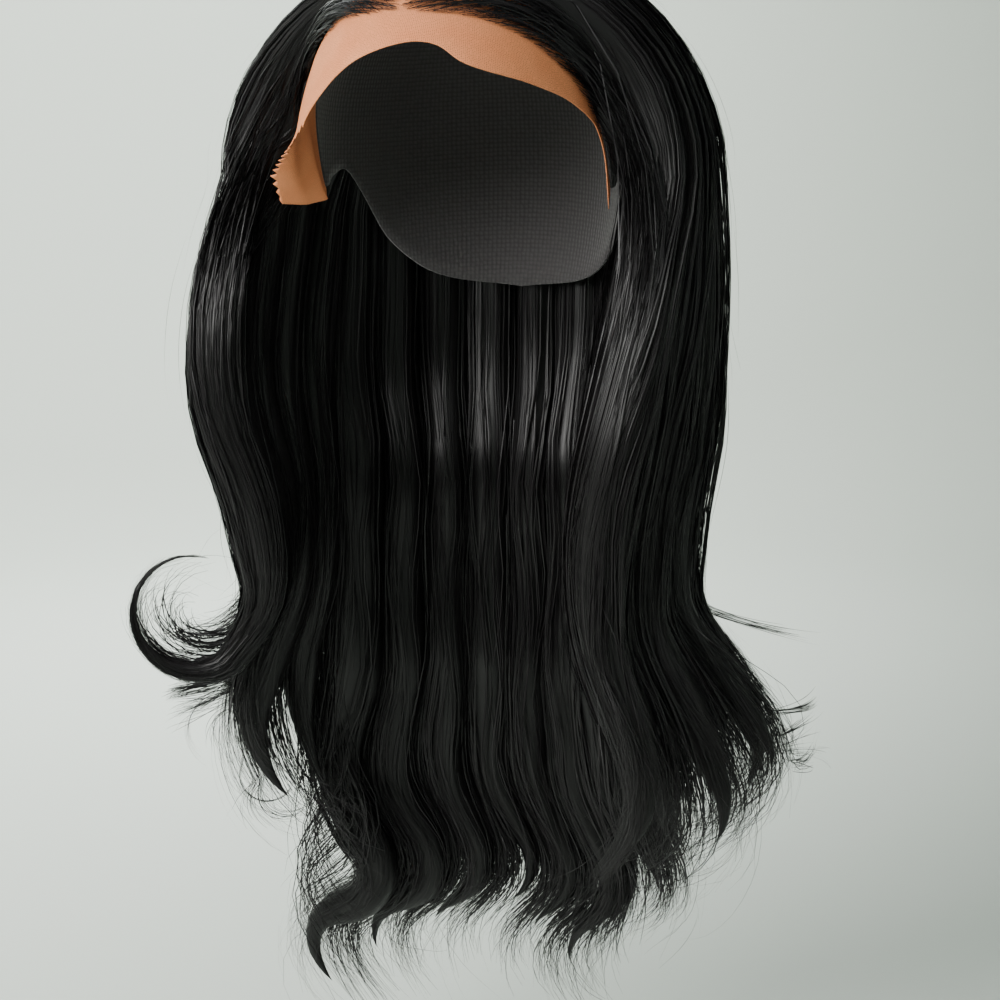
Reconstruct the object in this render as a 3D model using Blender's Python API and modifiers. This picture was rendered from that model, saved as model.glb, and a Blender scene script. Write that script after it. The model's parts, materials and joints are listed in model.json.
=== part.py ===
"""A lace front wig with long waved hair: a lace panel, a cap and five masses of hair.

Lengths are in metres and +Z is up. The face side is -Y and +X is the wearer's left.
The origin is the inside of the cap at its crown, where the wig sits on a head.
An azimuth is measured round the head from the face towards the wearer's left, in degrees.
"""

import math
from collections import namedtuple

import bmesh
import bpy
from mathutils import Vector

# The hollow for the head
HEAD_HALF_WIDTH = 0.0765
HEAD_FRONT = 0.107
HEAD_BACK = 0.086
HEAD_RISE = 0.095
DOME_POWER = 2.3
NAPE_TAPER = 0.22

# Walls and gaps
CAP_WALL = 0.0015
LACE_WALL = 0.001
PIECE_GAP = 0.0003
SEAT_SAG = 0.0009

# The cap's grid, and the lace panel's
CAP_COLUMNS = 60
CAP_ROWS = 7
EQUATOR_TOLERANCE = 0.0001
LACE_END = 84.0
LACE_STEP = 6.0
LACE_SEAM_GAP = 0.009

# The loose end of the lace at the right temple: the azimuth where it starts, the teeth of its edge,
# how far it stands out, the power that this grows with, the share of it from which its end rounds
# off, and the azimuth that it leans toward
FLAP_START = -34.0
FLAP_TOOTH_DEPTH = 0.0016
FLAP_TEETH = 14
FLAP_LIFT = 0.033
FLAP_GROWTH = 1.5
FLAP_ROUND = 0.75
FLAP_AZIMUTH = -44.0
# The rows of the lace from seam to free edge, the row that the loose end folds on, and how far
# each row beyond it stands out and turns back
LACE_ROWS = (0.0, 0.2, 0.4, 0.6, 0.76, 0.9, 1.0)
FLAP_HINGE = 3
FLAP_ROLL = ((0.25, 0.0), (0.5, 0.1), (1.0, 0.6))

# The parting and the whorl at the crown that the hair runs out from
PARTING_HALF_GAP = 0.0006
WHORL_Y = 0.0135
WHORL_RADIUS = 0.005
FRONT_SWEEP = 0.4
DOME_TURNS = (0.0, 0.09, 0.2, 0.33, 0.46, 0.6, 0.74, 0.88)

# A lock's ring has eight corners, from the side with the lower azimuth: five outside, then three
# inside. A free lock has them at these angles from straight outward.
FREE_RING = (-72.0, -36.0, 0.0, 36.0, 72.0, 120.0, 180.0, -120.0)
OUTER_LAST, INNER_FIRST = 4, 7
# Beside a neighbour, the outer side corners lie at shares of the half thickness from the floor of
# a full groove to its top where there is none, and the inner ones at one share
GROOVE_FLOOR = 0.31
GROOVE_TOP = 0.86
INNER_SIDE = 0.6
MASS_EDGE_GAP = 0.0004
MASS_EDGE_SHARE = 0.3
# How deep the grooves are at the parting and at the dome's end, and the height where they start to
# deepen and how much lower they are full
DOME_RELIEF = (0.15, 0.3)
RELIEF_TOP = -0.11
RELIEF_DROP = 0.2
# Half a mass's thickness at its roots, and how fast it thickens over the dome
ROOT_RISE = 0.0035
THICKENING = 0.8
# A free end's step, the lengths that it bends away and widens over, its least half size, and what
# it draws in by where locks part
TAIL_STEP = 0.0155
TAIL_EASE = 0.03
TAIL_SPREAD = 0.06
TIP_HALF_SIZE = 0.0012
SPLIT_GAP = 0.0012

HAIR_COLOUR = (0.012, 0.011, 0.012, 1.0)
LACE_COLOUR = (0.66, 0.37, 0.24, 1.0)
CAP_COLOUR = (0.02, 0.018, 0.018, 1.0)

# The height of an edge at an azimuth
Edge = namedtuple("Edge", "azimuth height")
# The cap's edge, the same on both sides: the lace's seam in front, then the ear and the nape
CAP_EDGE = (
    Edge(0, -0.012),
    Edge(30, -0.015),
    Edge(50, -0.025),
    Edge(65, -0.050),
    Edge(76, -0.084),
    Edge(84, -0.108),
    Edge(90, -0.103),
    Edge(102, -0.099),
    Edge(112, -0.112),
    Edge(124, -0.136),
    Edge(145, -0.155),
    Edge(180, -0.162),
)
# Where the hair starts, the same on both sides
HAIRLINE = (
    Edge(0, -0.030),
    Edge(25, -0.034),
    Edge(45, -0.046),
    Edge(60, -0.062),
    Edge(72, -0.082),
    Edge(84, -0.108),
    Edge(180, -0.162),
)
# The lace's free edge, from the right ear tab to the left
LACE_EDGE = (
    Edge(-84, -0.118),
    Edge(-60, -0.100),
    Edge(-40, -0.082),
    Edge(-26, -0.070),
    Edge(-9, -0.051),
    Edge(10, -0.044),
    Edge(21, -0.054),
    Edge(41, -0.062),
    Edge(60, -0.071),
    Edge(75, -0.086),
    Edge(84, -0.118),
)

# One level of a hanging mass: its height, then for its first and last side, in the order of their
# azimuths, the azimuth, the reach of its middle from the head's axis, and half its thickness
Level = namedtuple("Level", "height first last first_reach last_reach first_half last_half")

# The free end of one lock. toward is the azimuth of the plane that it bends in; lean, sway and
# curl are angles outward from straight down; curl is what the tip turns by after curl_from; full
# is how much wider it gets than the lock above.
Tail = namedtuple("Tail", "length toward lean sway wave phase curl_from curl slim full")

# A lock's cross-section: its middle, the way it runs, and its outward and sideways directions
Frame = namedtuple("Frame", "centre course outward across half_thick half_wide")

# A mass: the side that it falls to from the parting, 1 for the wearer's left and -1 for the right,
# or 0 at the back; where its first and last locks start, along the parting or as an azimuth round
# the whorl; its levels from ear height down; and its tails from its first side to its last
Mass = namedtuple("Mass", "side root_first root_last levels tails")

MASSES = {
    "hair_front_right": Mass(
        side=-1,
        root_first=0.0115,
        root_last=-0.077,
        levels=(
            Level(-0.110, -113, -75, 0.106, 0.117, 0.021, 0.013),
            Level(-0.160, -113, -70, 0.114, 0.129, 0.021, 0.017),
            Level(-0.205, -113, -68, 0.117, 0.130, 0.021, 0.018),
            Level(-0.255, -113, -66, 0.116, 0.119, 0.020, 0.018),
            Level(-0.305, -113, -64, 0.112, 0.103, 0.019, 0.018),
        ),
        tails=(
            Tail(0.190, -98, 10, 12, 0.12, 0, 0.50, -100, 0.35, 1.3),
            Tail(0.195, -86, 21, 6, 0.12, 0, 0.46, -125, 0.35, 1.4),
            Tail(0.105, -74, 32, 0, 0.12, 0, 0.15, 58, 0.8, 1.0),
            Tail(0.186, -68, 41, 0, 0.12, 0, 0.27, 262, 1.1, 1.0),
        ),
    ),
    "hair_front_left": Mass(
        side=1,
        root_first=-0.077,
        root_last=0.0115,
        levels=(
            Level(-0.110, 73, 113, 0.106, 0.106, 0.019, 0.021),
            Level(-0.160, 64, 113, 0.107, 0.111, 0.019, 0.021),
            Level(-0.205, 57, 113, 0.104, 0.110, 0.019, 0.020),
            Level(-0.255, 52, 113, 0.100, 0.109, 0.019, 0.019),
            Level(-0.305, 50, 113, 0.098, 0.100, 0.018, 0.018),
        ),
        tails=(
            Tail(0.165, 75, 18, 14, 0.15, 0, 0.55, -80, 0.4, 1.3),
            Tail(0.175, 85, 30, 10, 0.15, 0, 0.62, -140, 0.4, 1.4),
            Tail(0.155, 95, 43, 6, 0.15, 0, 0.62, -150, 0.4, 1.4),
            Tail(0.175, 108, 32, 12, 0.15, 0, 0.60, -150, 0.4, 1.4),
        ),
    ),
    "hair_back_right": Mass(
        side=0,
        root_first=-158,
        root_last=-113,
        levels=(
            Level(-0.110, -158, -113, 0.112, 0.107, 0.020, 0.020),
            Level(-0.160, -158, -113, 0.113, 0.113, 0.020, 0.020),
            Level(-0.220, -158, -113, 0.110, 0.114, 0.019, 0.019),
            Level(-0.290, -158, -113, 0.100, 0.108, 0.018, 0.018),
            Level(-0.360, -158, -113, 0.098, 0.108, 0.018, 0.018),
            Level(-0.430, -158, -111, 0.103, 0.124, 0.018, 0.018),
        ),
        tails=(
            Tail(0.185, -102, 5, 44, 0.14, 135, 0.85, -20, 0.3, 1.0),
            Tail(0.210, -98, 6, 50, 0.14, 128, 0.85, -20, 0.3, 1.0),
            Tail(0.235, -94, 8, 54, 0.14, 120, 0.85, -20, 0.3, 1.0),
        ),
    ),
    "hair_back_centre": Mass(
        side=0,
        root_first=158,
        root_last=202,
        levels=(
            Level(-0.110, 158, 202, 0.114, 0.114, 0.018, 0.018),
            Level(-0.160, 158, 202, 0.114, 0.114, 0.018, 0.018),
            Level(-0.220, 158, 202, 0.108, 0.108, 0.018, 0.018),
            Level(-0.290, 158, 202, 0.100, 0.100, 0.017, 0.017),
            Level(-0.360, 158, 202, 0.098, 0.098, 0.017, 0.017),
            Level(-0.430, 158, 202, 0.103, 0.103, 0.017, 0.017),
        ),
        tails=(
            Tail(0.200, 78, -1, 42, 0.14, -46, 0.8, 20, 0.3, 1.0),
            Tail(0.180, 78, -2, 43, 0.14, -46, 0.8, 20, 0.3, 1.0),
            Tail(0.160, 78, -2, 44, 0.14, -46, 0.8, 20, 0.3, 1.0),
        ),
    ),
    "hair_back_left": Mass(
        side=0,
        root_first=113,
        root_last=158,
        levels=(
            Level(-0.110, 113, 158, 0.107, 0.112, 0.020, 0.020),
            Level(-0.160, 113, 158, 0.112, 0.113, 0.020, 0.020),
            Level(-0.220, 113, 158, 0.112, 0.110, 0.019, 0.019),
            Level(-0.290, 113, 158, 0.104, 0.100, 0.018, 0.018),
            Level(-0.360, 113, 158, 0.104, 0.098, 0.018, 0.018),
            Level(-0.430, 113, 158, 0.104, 0.102, 0.018, 0.017),
        ),
        tails=(
            Tail(0.070, 84, 8, 34, 0.14, -46, 0.3, -60, 0.35, 1.0),
            Tail(0.095, 81, 4, 38, 0.14, -46, 0.5, -50, 0.35, 1.0),
            Tail(0.130, 78, 2, 42, 0.14, -46, 0.6, -20, 0.3, 1.0),
        ),
    ),
}


def curve_value(rows, key, field):
    """The value of a column where the first column is key, on a smooth curve through the rows."""
    keys = [row[0] for row in rows]
    values = [getattr(row, field) for row in rows]
    slopes = []
    for i in range(len(rows)):
        before, after = max(i - 1, 0), min(i + 1, len(rows) - 1)
        slopes.append((values[after] - values[before]) / (keys[after] - keys[before]))
    at = 0
    while at < len(rows) - 2 and (key - keys[at + 1]) * (keys[-1] - keys[0]) > 0:
        at += 1
    span = keys[at + 1] - keys[at]
    t = min(max((key - keys[at]) / span, 0.0), 1.0)
    return (
        values[at] * (1 + 2 * t) * (1 - t) ** 2
        + values[at + 1] * t * t * (3 - 2 * t)
        + slopes[at] * span * t * (1 - t) ** 2
        - slopes[at + 1] * span * t * t * (1 - t)
    )


def eased(share):
    """A share from 0 to 1 that starts and ends gently."""
    share = min(max(share, 0.0), 1.0)
    return share * share * (3 - 2 * share)


def around(azimuth):
    """The level direction from the head's axis at an azimuth."""
    turn = math.radians(azimuth)
    return Vector((math.sin(turn), -math.cos(turn), 0.0))


def head_reach(azimuth):
    """The distance of the head's widest line from its axis."""
    turn = math.radians(azimuth)
    depth = HEAD_FRONT if math.cos(turn) > 0 else HEAD_BACK
    return 1.0 / math.hypot(math.sin(turn) / HEAD_HALF_WIDTH, math.cos(turn) / depth)


def level_angle(height):
    """The angle above the head's widest level, seen from its middle, of a height on its surface."""
    if height < -HEAD_RISE:
        return (height + HEAD_RISE) / HEAD_RISE
    share = min((height + HEAD_RISE) / HEAD_RISE, 0.999999) ** DOME_POWER
    return math.atan((share / (1.0 - share)) ** (1.0 / DOME_POWER))


def head_point(azimuth, angle, off=0.0):
    """A point on the head's surface, or off it, at an azimuth and an angle above the widest level."""
    reach = head_reach(azimuth) + off
    if angle < 0.0:
        narrowing = 1.0 - NAPE_TAPER * angle * angle
        return around(azimuth) * reach * narrowing + Vector((0, 0, HEAD_RISE * (angle - 1.0)))
    level, rise = math.cos(angle), math.sin(angle)
    size = (level**DOME_POWER + rise**DOME_POWER) ** (-1.0 / DOME_POWER)
    height = (HEAD_RISE + off) * rise * size - HEAD_RISE
    return around(azimuth) * reach * level * size + Vector((0, 0, height))


def seated(point, off):
    """The point moved straight in or out from the middle of the head, to lie off its surface."""
    arm = point + Vector((0, 0, HEAD_RISE))
    azimuth = math.degrees(math.atan2(arm.x, -arm.y))
    level = math.hypot(arm.x, arm.y) / (head_reach(azimuth) + off)
    rise = max(arm.z, 0.0) / (HEAD_RISE + off)
    size = (level**DOME_POWER + rise**DOME_POWER) ** (1.0 / DOME_POWER)
    return arm / size - Vector((0, 0, HEAD_RISE))


def cap_edge_height(azimuth):
    """The height of the cap's lower edge, which is the lace's seam in front."""
    turn = abs((azimuth + 180.0) % 360.0 - 180.0)
    return curve_value(CAP_EDGE, turn, "height")


def remove_all():
    """Clears what the file holds."""
    for old in list(bpy.data.objects):
        bpy.data.objects.remove(old, do_unlink=True)


def new_material(name, colour, roughness):
    """A plain surface of one colour."""
    material = bpy.data.materials.new(name)
    material.use_nodes = True
    shader = material.node_tree.nodes["Principled BSDF"]
    shader.inputs["Base Color"].default_value = colour
    shader.inputs["Roughness"].default_value = roughness
    shader.inputs["Metallic"].default_value = 0.0
    return material


def new_object(name, mesh, material, collection):
    """A mesh placed in the wig's collection, with its material."""
    built = bpy.data.objects.new(name, mesh)
    built.data.materials.append(material)
    collection.objects.link(built)
    return built


def add_wall(built, thickness):
    """Thickens an open surface outward."""
    wall = built.modifiers.new("wall", "SOLIDIFY")
    wall.thickness = thickness
    wall.offset = 1.0
    wall.use_even_offset = True


def build_cap(material, collection):
    """The cap: the upper half of a ball, drawn over the head down to the cap's edge."""
    shape = bmesh.new()
    bmesh.ops.create_uvsphere(
        shape, u_segments=CAP_COLUMNS, v_segments=2 * CAP_ROWS, radius=1.0
    )
    lower = [corner for corner in shape.verts if corner.co.z < -EQUATOR_TOLERANCE]
    bmesh.ops.delete(shape, geom=lower, context="VERTS")
    for corner in shape.verts:
        azimuth = math.degrees(math.atan2(corner.co.x, -corner.co.y))
        share = math.acos(min(max(corner.co.z, -1.0), 1.0)) / (math.pi / 2)
        edge = level_angle(cap_edge_height(azimuth))
        corner.co = head_point(azimuth, math.pi / 2 - share * (math.pi / 2 - edge))
    mesh = bpy.data.meshes.new("wig_cap")
    shape.to_mesh(mesh)
    shape.free()
    cap = new_object("wig_cap", mesh, material, collection)
    add_wall(cap, CAP_WALL)
    return cap


def lace_columns():
    """The azimuths of the lace's columns from the right ear tab to the left, and the tooth
    height of each, finer where the loose end is cut in teeth."""
    columns = []
    flap_span = LACE_END + FLAP_START
    for i in range(2 * FLAP_TEETH):
        azimuth = -LACE_END + flap_span * i / (2 * FLAP_TEETH)
        columns.append((azimuth, FLAP_TOOTH_DEPTH * (1 if i % 2 else -1)))
    count = round((LACE_END - FLAP_START) / LACE_STEP)
    for i in range(count + 1):
        columns.append((FLAP_START + (LACE_END - FLAP_START) * i / count, 0.0))
    return columns


def lace_column(azimuth, tooth):
    """The points of one column of the lace, from its seam to its free edge."""
    seam = level_angle(cap_edge_height(azimuth)) - LACE_SEAM_GAP
    edge = level_angle(curve_value(LACE_EDGE, azimuth, "height"))
    points = [head_point(azimuth, seam + (edge - seam) * share) for share in LACE_ROWS]
    loose = (FLAP_START - azimuth) / (LACE_END + FLAP_START)
    if loose > 0.0:
        lift = FLAP_LIFT * (loose**FLAP_GROWTH - max(loose - FLAP_ROUND, 0.0))
        toward = around(FLAP_AZIMUTH)
        hinge = points[FLAP_HINGE]
        for i, (out, back) in enumerate(FLAP_ROLL):
            flat = points[FLAP_HINGE + 1 + i]
            rolled = flat.lerp(hinge, back * lift / FLAP_LIFT) + toward * lift * out
            points[FLAP_HINGE + 1 + i] = rolled
        points[-1] += Vector((0, tooth, 0)) * (lift / FLAP_LIFT)
    return points


def build_lace(material, collection):
    """The lace panel: a grid of columns from seam to free edge."""
    shape = bmesh.new()
    columns = []
    for azimuth, tooth in lace_columns():
        columns.append([shape.verts.new(point) for point in lace_column(azimuth, tooth)])
    for right, left in zip(columns, columns[1:]):
        for i in range(len(right) - 1):
            shape.faces.new((right[i], right[i + 1], left[i + 1], left[i]))
    bmesh.ops.recalc_face_normals(shape, faces=shape.faces)
    mesh = bpy.data.meshes.new("lace_front")
    shape.to_mesh(mesh)
    shape.free()
    lace = new_object("lace_front", mesh, material, collection)
    add_wall(lace, LACE_WALL)
    return lace


def between_sides(mass, height, first_field, last_field, share):
    """A value of a mass at a height, share of the way from its first side to its last."""
    first = curve_value(mass.levels, height, first_field)
    last = curve_value(mass.levels, height, last_field)
    return first + (last - first) * share


def level_point(mass, height, share):
    """A point in the middle of a mass at a height, share of the way from its first side to its last."""
    azimuth = between_sides(mass, height, "first", "last", share)
    reach = between_sides(mass, height, "first_reach", "last_reach", share)
    return around(azimuth) * reach + Vector((0, 0, height))


def frontness(mass, share):
    """How near a lock of a front mass is to the face, from 0 to 1, and 0 in a back mass."""
    return share * (mass.side < 0) + (1.0 - share) * (mass.side > 0)


def root_point(mass, share):
    """Where a lock starts: on the parting, or on the whorl for a back mass."""
    at = mass.root_first + (mass.root_last - mass.root_first) * share
    if mass.side:
        plan = Vector((mass.side * PARTING_HALF_GAP, at, 0))
    else:
        plan = around(at) * WHORL_RADIUS + Vector((0, WHORL_Y, 0))
    return seated(plan, CAP_WALL + PIECE_GAP + ROOT_RISE)


def shared_rows(mass):
    """The rows that a mass's locks share: its turns over the dome, then the heights of its levels
    with one between each two."""
    rows = [("dome", turn) for turn in DOME_TURNS]
    heights = [level.height for level in mass.levels]
    for upper, lower in zip(heights, heights[1:]):
        rows.append(("fall", upper))
        rows.append(("fall", (upper + lower) / 2))
    rows.append(("fall", heights[-1]))
    return rows


def centre_at(mass, row, share):
    """The middle of the mass on one of its rows."""
    kind, value = row
    if kind == "fall":
        return level_point(mass, value, share)
    root = root_point(mass, share)
    span = level_point(mass, mass.levels[0].height, share) - root
    turn = value * math.pi / 2
    out, down = math.sin(turn), 1.0 - math.cos(turn)
    back = out ** (1.0 - FRONT_SWEEP * frontness(mass, share))
    return root + Vector((span.x * out, span.y * back, span.z * down))


def half_thick_at(mass, row, share):
    """Half the thickness of a mass on one of its rows."""
    kind, value = row
    height = value if kind == "fall" else mass.levels[0].height
    full = between_sides(mass, height, "first_half", "last_half", share)
    if kind == "fall":
        return full
    return ROOT_RISE + (full - ROOT_RISE) * math.sin(value * math.pi / 2) ** THICKENING


def relief_at(row):
    """How far the grooves between locks are cut in, from 0 to 1."""
    kind, value = row
    first, last = DOME_RELIEF
    if kind == "dome":
        return first + (last - first) * value
    return last + (1.0 - last) * min(max((RELIEF_TOP - value) / RELIEF_DROP, 0.0), 1.0)


def facing(mass, row, share):
    """The level direction that a lock faces on a shared row: along its run from the parting, and
    straight out from the head's axis once it hangs."""
    kind, value = row
    if kind == "fall":
        return around(between_sides(mass, value, "first", "last", share))
    top = mass.levels[0].height
    span = level_point(mass, top, share) - root_point(mass, share)
    run = Vector((span.x, span.y, 0.0)).normalized()
    hung = around(between_sides(mass, top, "first", "last", share))
    return run.lerp(hung, value * value).normalized()


def lock_frame(mass, rows, j, share, step):
    """A lock's middle, course, outward and sideways directions and half sizes on a shared row."""
    row = rows[j]
    centre = centre_at(mass, row, share)
    above = centre_at(mass, rows[max(j - 1, 0)], share)
    below = centre_at(mass, rows[min(j + 1, len(rows) - 1)], share)
    course = (below - above).normalized()
    run = facing(mass, row, share)
    across = Vector((-run.y, run.x, 0.0))
    across = (across - course * across.dot(course)).normalized()
    outward = course.cross(across).normalized()
    pitch = centre_at(mass, row, share + step) - centre_at(mass, row, share - step)
    half_wide = abs(pitch.dot(across)) / 2
    return Frame(centre, course, outward, across, half_thick_at(mass, row, share), half_wide)


def side_corners(frame, relief, inset):
    """The outer and inner corner on the line between two locks, or at the edge of a mass."""
    foot = frame.centre + frame.across * inset
    rise = GROOVE_FLOOR + (GROOVE_TOP - GROOVE_FLOOR) * (1.0 - relief)
    outer = foot + frame.outward * frame.half_thick * rise
    inner = foot - frame.outward * frame.half_thick * INNER_SIDE
    return outer, inner


def free_ring(frame):
    """A lock's cross-section where it hangs by itself: an ellipse."""
    points = []
    for angle in FREE_RING:
        turn = math.radians(angle)
        points.append(
            frame.centre
            + frame.outward * frame.half_thick * math.cos(turn)
            + frame.across * frame.half_wide * math.sin(turn)
        )
    return points


def tail_frames(tail, start):
    """The frames of a lock's free end, one for each step along it."""
    plane = around(tail.toward)
    first_heading = math.atan2(start.course.dot(plane), -start.course.z)
    steps = round(tail.length / TAIL_STEP)
    step = tail.length / steps
    frames = []
    place = start.centre
    outward = start.outward
    for i in range(1, steps + 1):
        heading = tail_heading(tail, (i - 0.5) * step, first_heading)
        place = place + headed(plane, heading) * step
        course = headed(plane, tail_heading(tail, i * step, first_heading))
        outward = (outward - course * outward.dot(course)).normalized()
        narrow = (1.0 - i / steps) ** tail.slim
        half_thick = max((start.half_thick - SPLIT_GAP) * narrow, TIP_HALF_SIZE)
        spread = 1.0 + (tail.full - 1.0) * eased(i * step / TAIL_SPREAD)
        half_wide = max((start.half_wide - SPLIT_GAP) * narrow * spread, TIP_HALF_SIZE)
        across = outward.cross(course)
        frames.append(Frame(place, course, outward, across, half_thick, half_wide))
    return frames


def headed(plane, heading):
    """The direction at an angle outward from straight down."""
    return plane * math.sin(heading) + Vector((0, 0, -math.cos(heading)))


def tail_heading(tail, along, first_heading):
    """The angle outward from straight down at a distance along a lock's free end."""
    swing = math.radians(tail.sway) * math.sin(
        2 * math.pi * along / tail.wave + math.radians(tail.phase)
    )
    share = (along / tail.length - tail.curl_from) / (1.0 - tail.curl_from)
    share = min(max(share, 0.0), 1.0)
    heading = math.radians(tail.lean) + swing + math.radians(tail.curl) * share
    return first_heading + (heading - first_heading) * eased(along / TAIL_EASE)


def settle(point, mass, inner, row):
    """Seats an inner corner on the cap where the mass lies over it, keeps any other corner clear
    of the cap, and keeps a front mass on its own side of the parting."""
    on_cap = seated(point, CAP_WALL + PIECE_GAP + SEAT_SAG)
    azimuth = math.degrees(math.atan2(point.x, -point.y))
    hairline = curve_value(HAIRLINE, abs(azimuth), "height")
    middle = Vector((0, 0, -HEAD_RISE))
    inside = (point - middle).length < (on_cap - middle).length
    rests = inner and row[0] == "dome" and point.z > hairline
    if rests or (inside and point.z > -HEAD_RISE):
        point = on_cap
    if mass.side and point.x * mass.side < PARTING_HALF_GAP:
        point = Vector((mass.side * PARTING_HALF_GAP, point.y, point.z))
    return point


def skirt(shape, upper, lower, first_joined=False, last_joined=False):
    """The faces between two rings of a lock, without the walls where it joins a neighbour."""
    for i in range(len(upper)):
        following = (i + 1) % len(upper)
        if not (i == INNER_FIRST and first_joined or i == OUTER_LAST and last_joined):
            shape.faces.new((upper[i], lower[i], lower[following], upper[following]))


def shared_corners(shape, mass, rows, j):
    """The corners of every lock on a shared row, with one pair where two neighbours meet."""
    count = len(mass.tails)
    relief = relief_at(rows[j])
    frames = [lock_frame(mass, rows, j, (k + 0.5) / count, 0.5 / count) for k in range(count)]

    def placed(point, inner):
        return shape.verts.new(settle(point, mass, inner, rows[j]))

    sides = []
    for k in range(count + 1):
        edge = lock_frame(mass, rows, j, k / count, 0.5 / count)
        gap = min(MASS_EDGE_GAP, MASS_EDGE_SHARE * edge.half_wide)
        inset = gap * ((k == 0) - (k == count))
        outer, inner = side_corners(edge, relief, inset)
        sides.append((placed(outer, False), placed(inner, True)))
    rings = []
    for k, frame in enumerate(frames):
        crest = free_ring(frame)
        outside = [placed(crest[i], False) for i in (1, 2, 3)]
        inside = placed(crest[6], True)
        first, last = sides[k], sides[k + 1]
        rings.append([first[0], *outside, last[0], last[1], inside, first[1]])
    return rings, frames


def build_mass(name, mass, material, collection):
    """One mass of hair: locks lofted side by side, joined above and free below."""
    rows = shared_rows(mass)
    count = len(mass.tails)
    shape = bmesh.new()
    corners, frames = shared_corners(shape, mass, rows, 0)
    for ring in corners:
        shape.faces.new(ring)
    for j in range(1, len(rows)):
        lower, frames = shared_corners(shape, mass, rows, j)
        for k in range(count):
            skirt(shape, corners[k], lower[k], k > 0, k < count - 1)
        corners = lower
    for tail, ring, frame in zip(mass.tails, corners, frames):
        for free_frame in tail_frames(tail, frame):
            lower = [shape.verts.new(point) for point in free_ring(free_frame)]
            skirt(shape, ring, lower)
            ring = lower
        shape.faces.new(ring)
    bmesh.ops.recalc_face_normals(shape, faces=shape.faces)
    mesh = bpy.data.meshes.new(name)
    shape.to_mesh(mesh)
    shape.free()
    return new_object(name, mesh, material, collection)


def main():
    remove_all()
    collection = bpy.data.collections.new("lace_front_wig")
    bpy.context.scene.collection.children.link(collection)
    hair = new_material("hair", HAIR_COLOUR, 0.35)
    lace = new_material("lace", LACE_COLOUR, 0.7)
    cloth = new_material("cap_cloth", CAP_COLOUR, 0.8)
    build_cap(cloth, collection)
    build_lace(lace, collection)
    for name, mass in MASSES.items():
        build_mass(name, mass, hair, collection)


main()
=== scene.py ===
"""The looks of a lace front wig: hair in fine strands, sheer lace, a cloth cap, light and camera.

Lengths are in metres. The tables are those of the part's source, so that every strand follows the
form of its solid.
"""

import json
import math
from collections import namedtuple

import bpy
import numpy as np
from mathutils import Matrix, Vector

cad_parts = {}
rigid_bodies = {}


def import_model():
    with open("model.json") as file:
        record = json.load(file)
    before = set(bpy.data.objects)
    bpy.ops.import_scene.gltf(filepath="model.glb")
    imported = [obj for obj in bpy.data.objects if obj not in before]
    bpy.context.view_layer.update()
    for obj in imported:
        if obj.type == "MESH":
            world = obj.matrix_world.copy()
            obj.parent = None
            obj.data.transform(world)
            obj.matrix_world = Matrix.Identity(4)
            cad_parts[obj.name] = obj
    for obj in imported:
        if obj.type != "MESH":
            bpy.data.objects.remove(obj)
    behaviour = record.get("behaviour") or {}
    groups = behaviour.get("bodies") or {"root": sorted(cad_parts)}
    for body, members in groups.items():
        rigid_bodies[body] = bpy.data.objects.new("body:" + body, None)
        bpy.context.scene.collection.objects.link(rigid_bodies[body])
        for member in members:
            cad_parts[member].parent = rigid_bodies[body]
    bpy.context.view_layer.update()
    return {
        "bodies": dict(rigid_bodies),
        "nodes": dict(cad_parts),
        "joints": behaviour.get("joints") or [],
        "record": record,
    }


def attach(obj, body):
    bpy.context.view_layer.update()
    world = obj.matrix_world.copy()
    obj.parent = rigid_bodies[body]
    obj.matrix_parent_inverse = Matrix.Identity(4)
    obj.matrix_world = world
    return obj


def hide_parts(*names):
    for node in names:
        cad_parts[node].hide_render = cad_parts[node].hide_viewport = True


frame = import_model()

# The hollow for the head
HEAD_HALF_WIDTH = 0.0765
HEAD_FRONT = 0.107
HEAD_BACK = 0.086
HEAD_RISE = 0.095
DOME_POWER = 2.3
NAPE_TAPER = 0.22

# Walls and gaps
CAP_WALL = 0.0015
LACE_WALL = 0.001
PIECE_GAP = 0.0003
SEAT_SAG = 0.0009

# The lace panel: the azimuth of its ear tabs, the step between its columns, and its seam's gap
LACE_END = 84.0
LACE_STEP = 6.0
LACE_SEAM_GAP = 0.009

# The loose end of the lace at the right temple: the azimuth where it starts, the teeth of its edge,
# how far it stands out, the power that this grows with, the share of it from which its end rounds
# off, and the azimuth that it leans toward
FLAP_START = -34.0
FLAP_TOOTH_DEPTH = 0.0016
FLAP_TEETH = 14
FLAP_LIFT = 0.033
FLAP_GROWTH = 1.5
FLAP_ROUND = 0.75
FLAP_AZIMUTH = -44.0
# The rows of the lace from seam to free edge, the row that the loose end folds on, and how far
# each row beyond it stands out and turns back
LACE_ROWS = (0.0, 0.2, 0.4, 0.6, 0.76, 0.9, 1.0)
FLAP_HINGE = 3
FLAP_ROLL = ((0.25, 0.0), (0.5, 0.1), (1.0, 0.6))

# The parting and the whorl at the crown that the hair runs out from
PARTING_HALF_GAP = 0.0006
WHORL_Y = 0.0135
WHORL_RADIUS = 0.005
FRONT_SWEEP = 0.4
DOME_TURNS = (0.0, 0.09, 0.2, 0.33, 0.46, 0.6, 0.74, 0.88)

# A lock's ring has eight corners, from the side with the lower azimuth: five outside, then three
# inside. A free lock has them at these angles from straight outward.
FREE_RING = (-72.0, -36.0, 0.0, 36.0, 72.0, 120.0, 180.0, -120.0)
# Beside a neighbour, the outer side corners lie at shares of the half thickness from the floor of
# a full groove to its top where there is none, and the inner ones at one share
GROOVE_FLOOR = 0.31
GROOVE_TOP = 0.86
INNER_SIDE = 0.6
MASS_EDGE_GAP = 0.0004
MASS_EDGE_SHARE = 0.3
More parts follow.
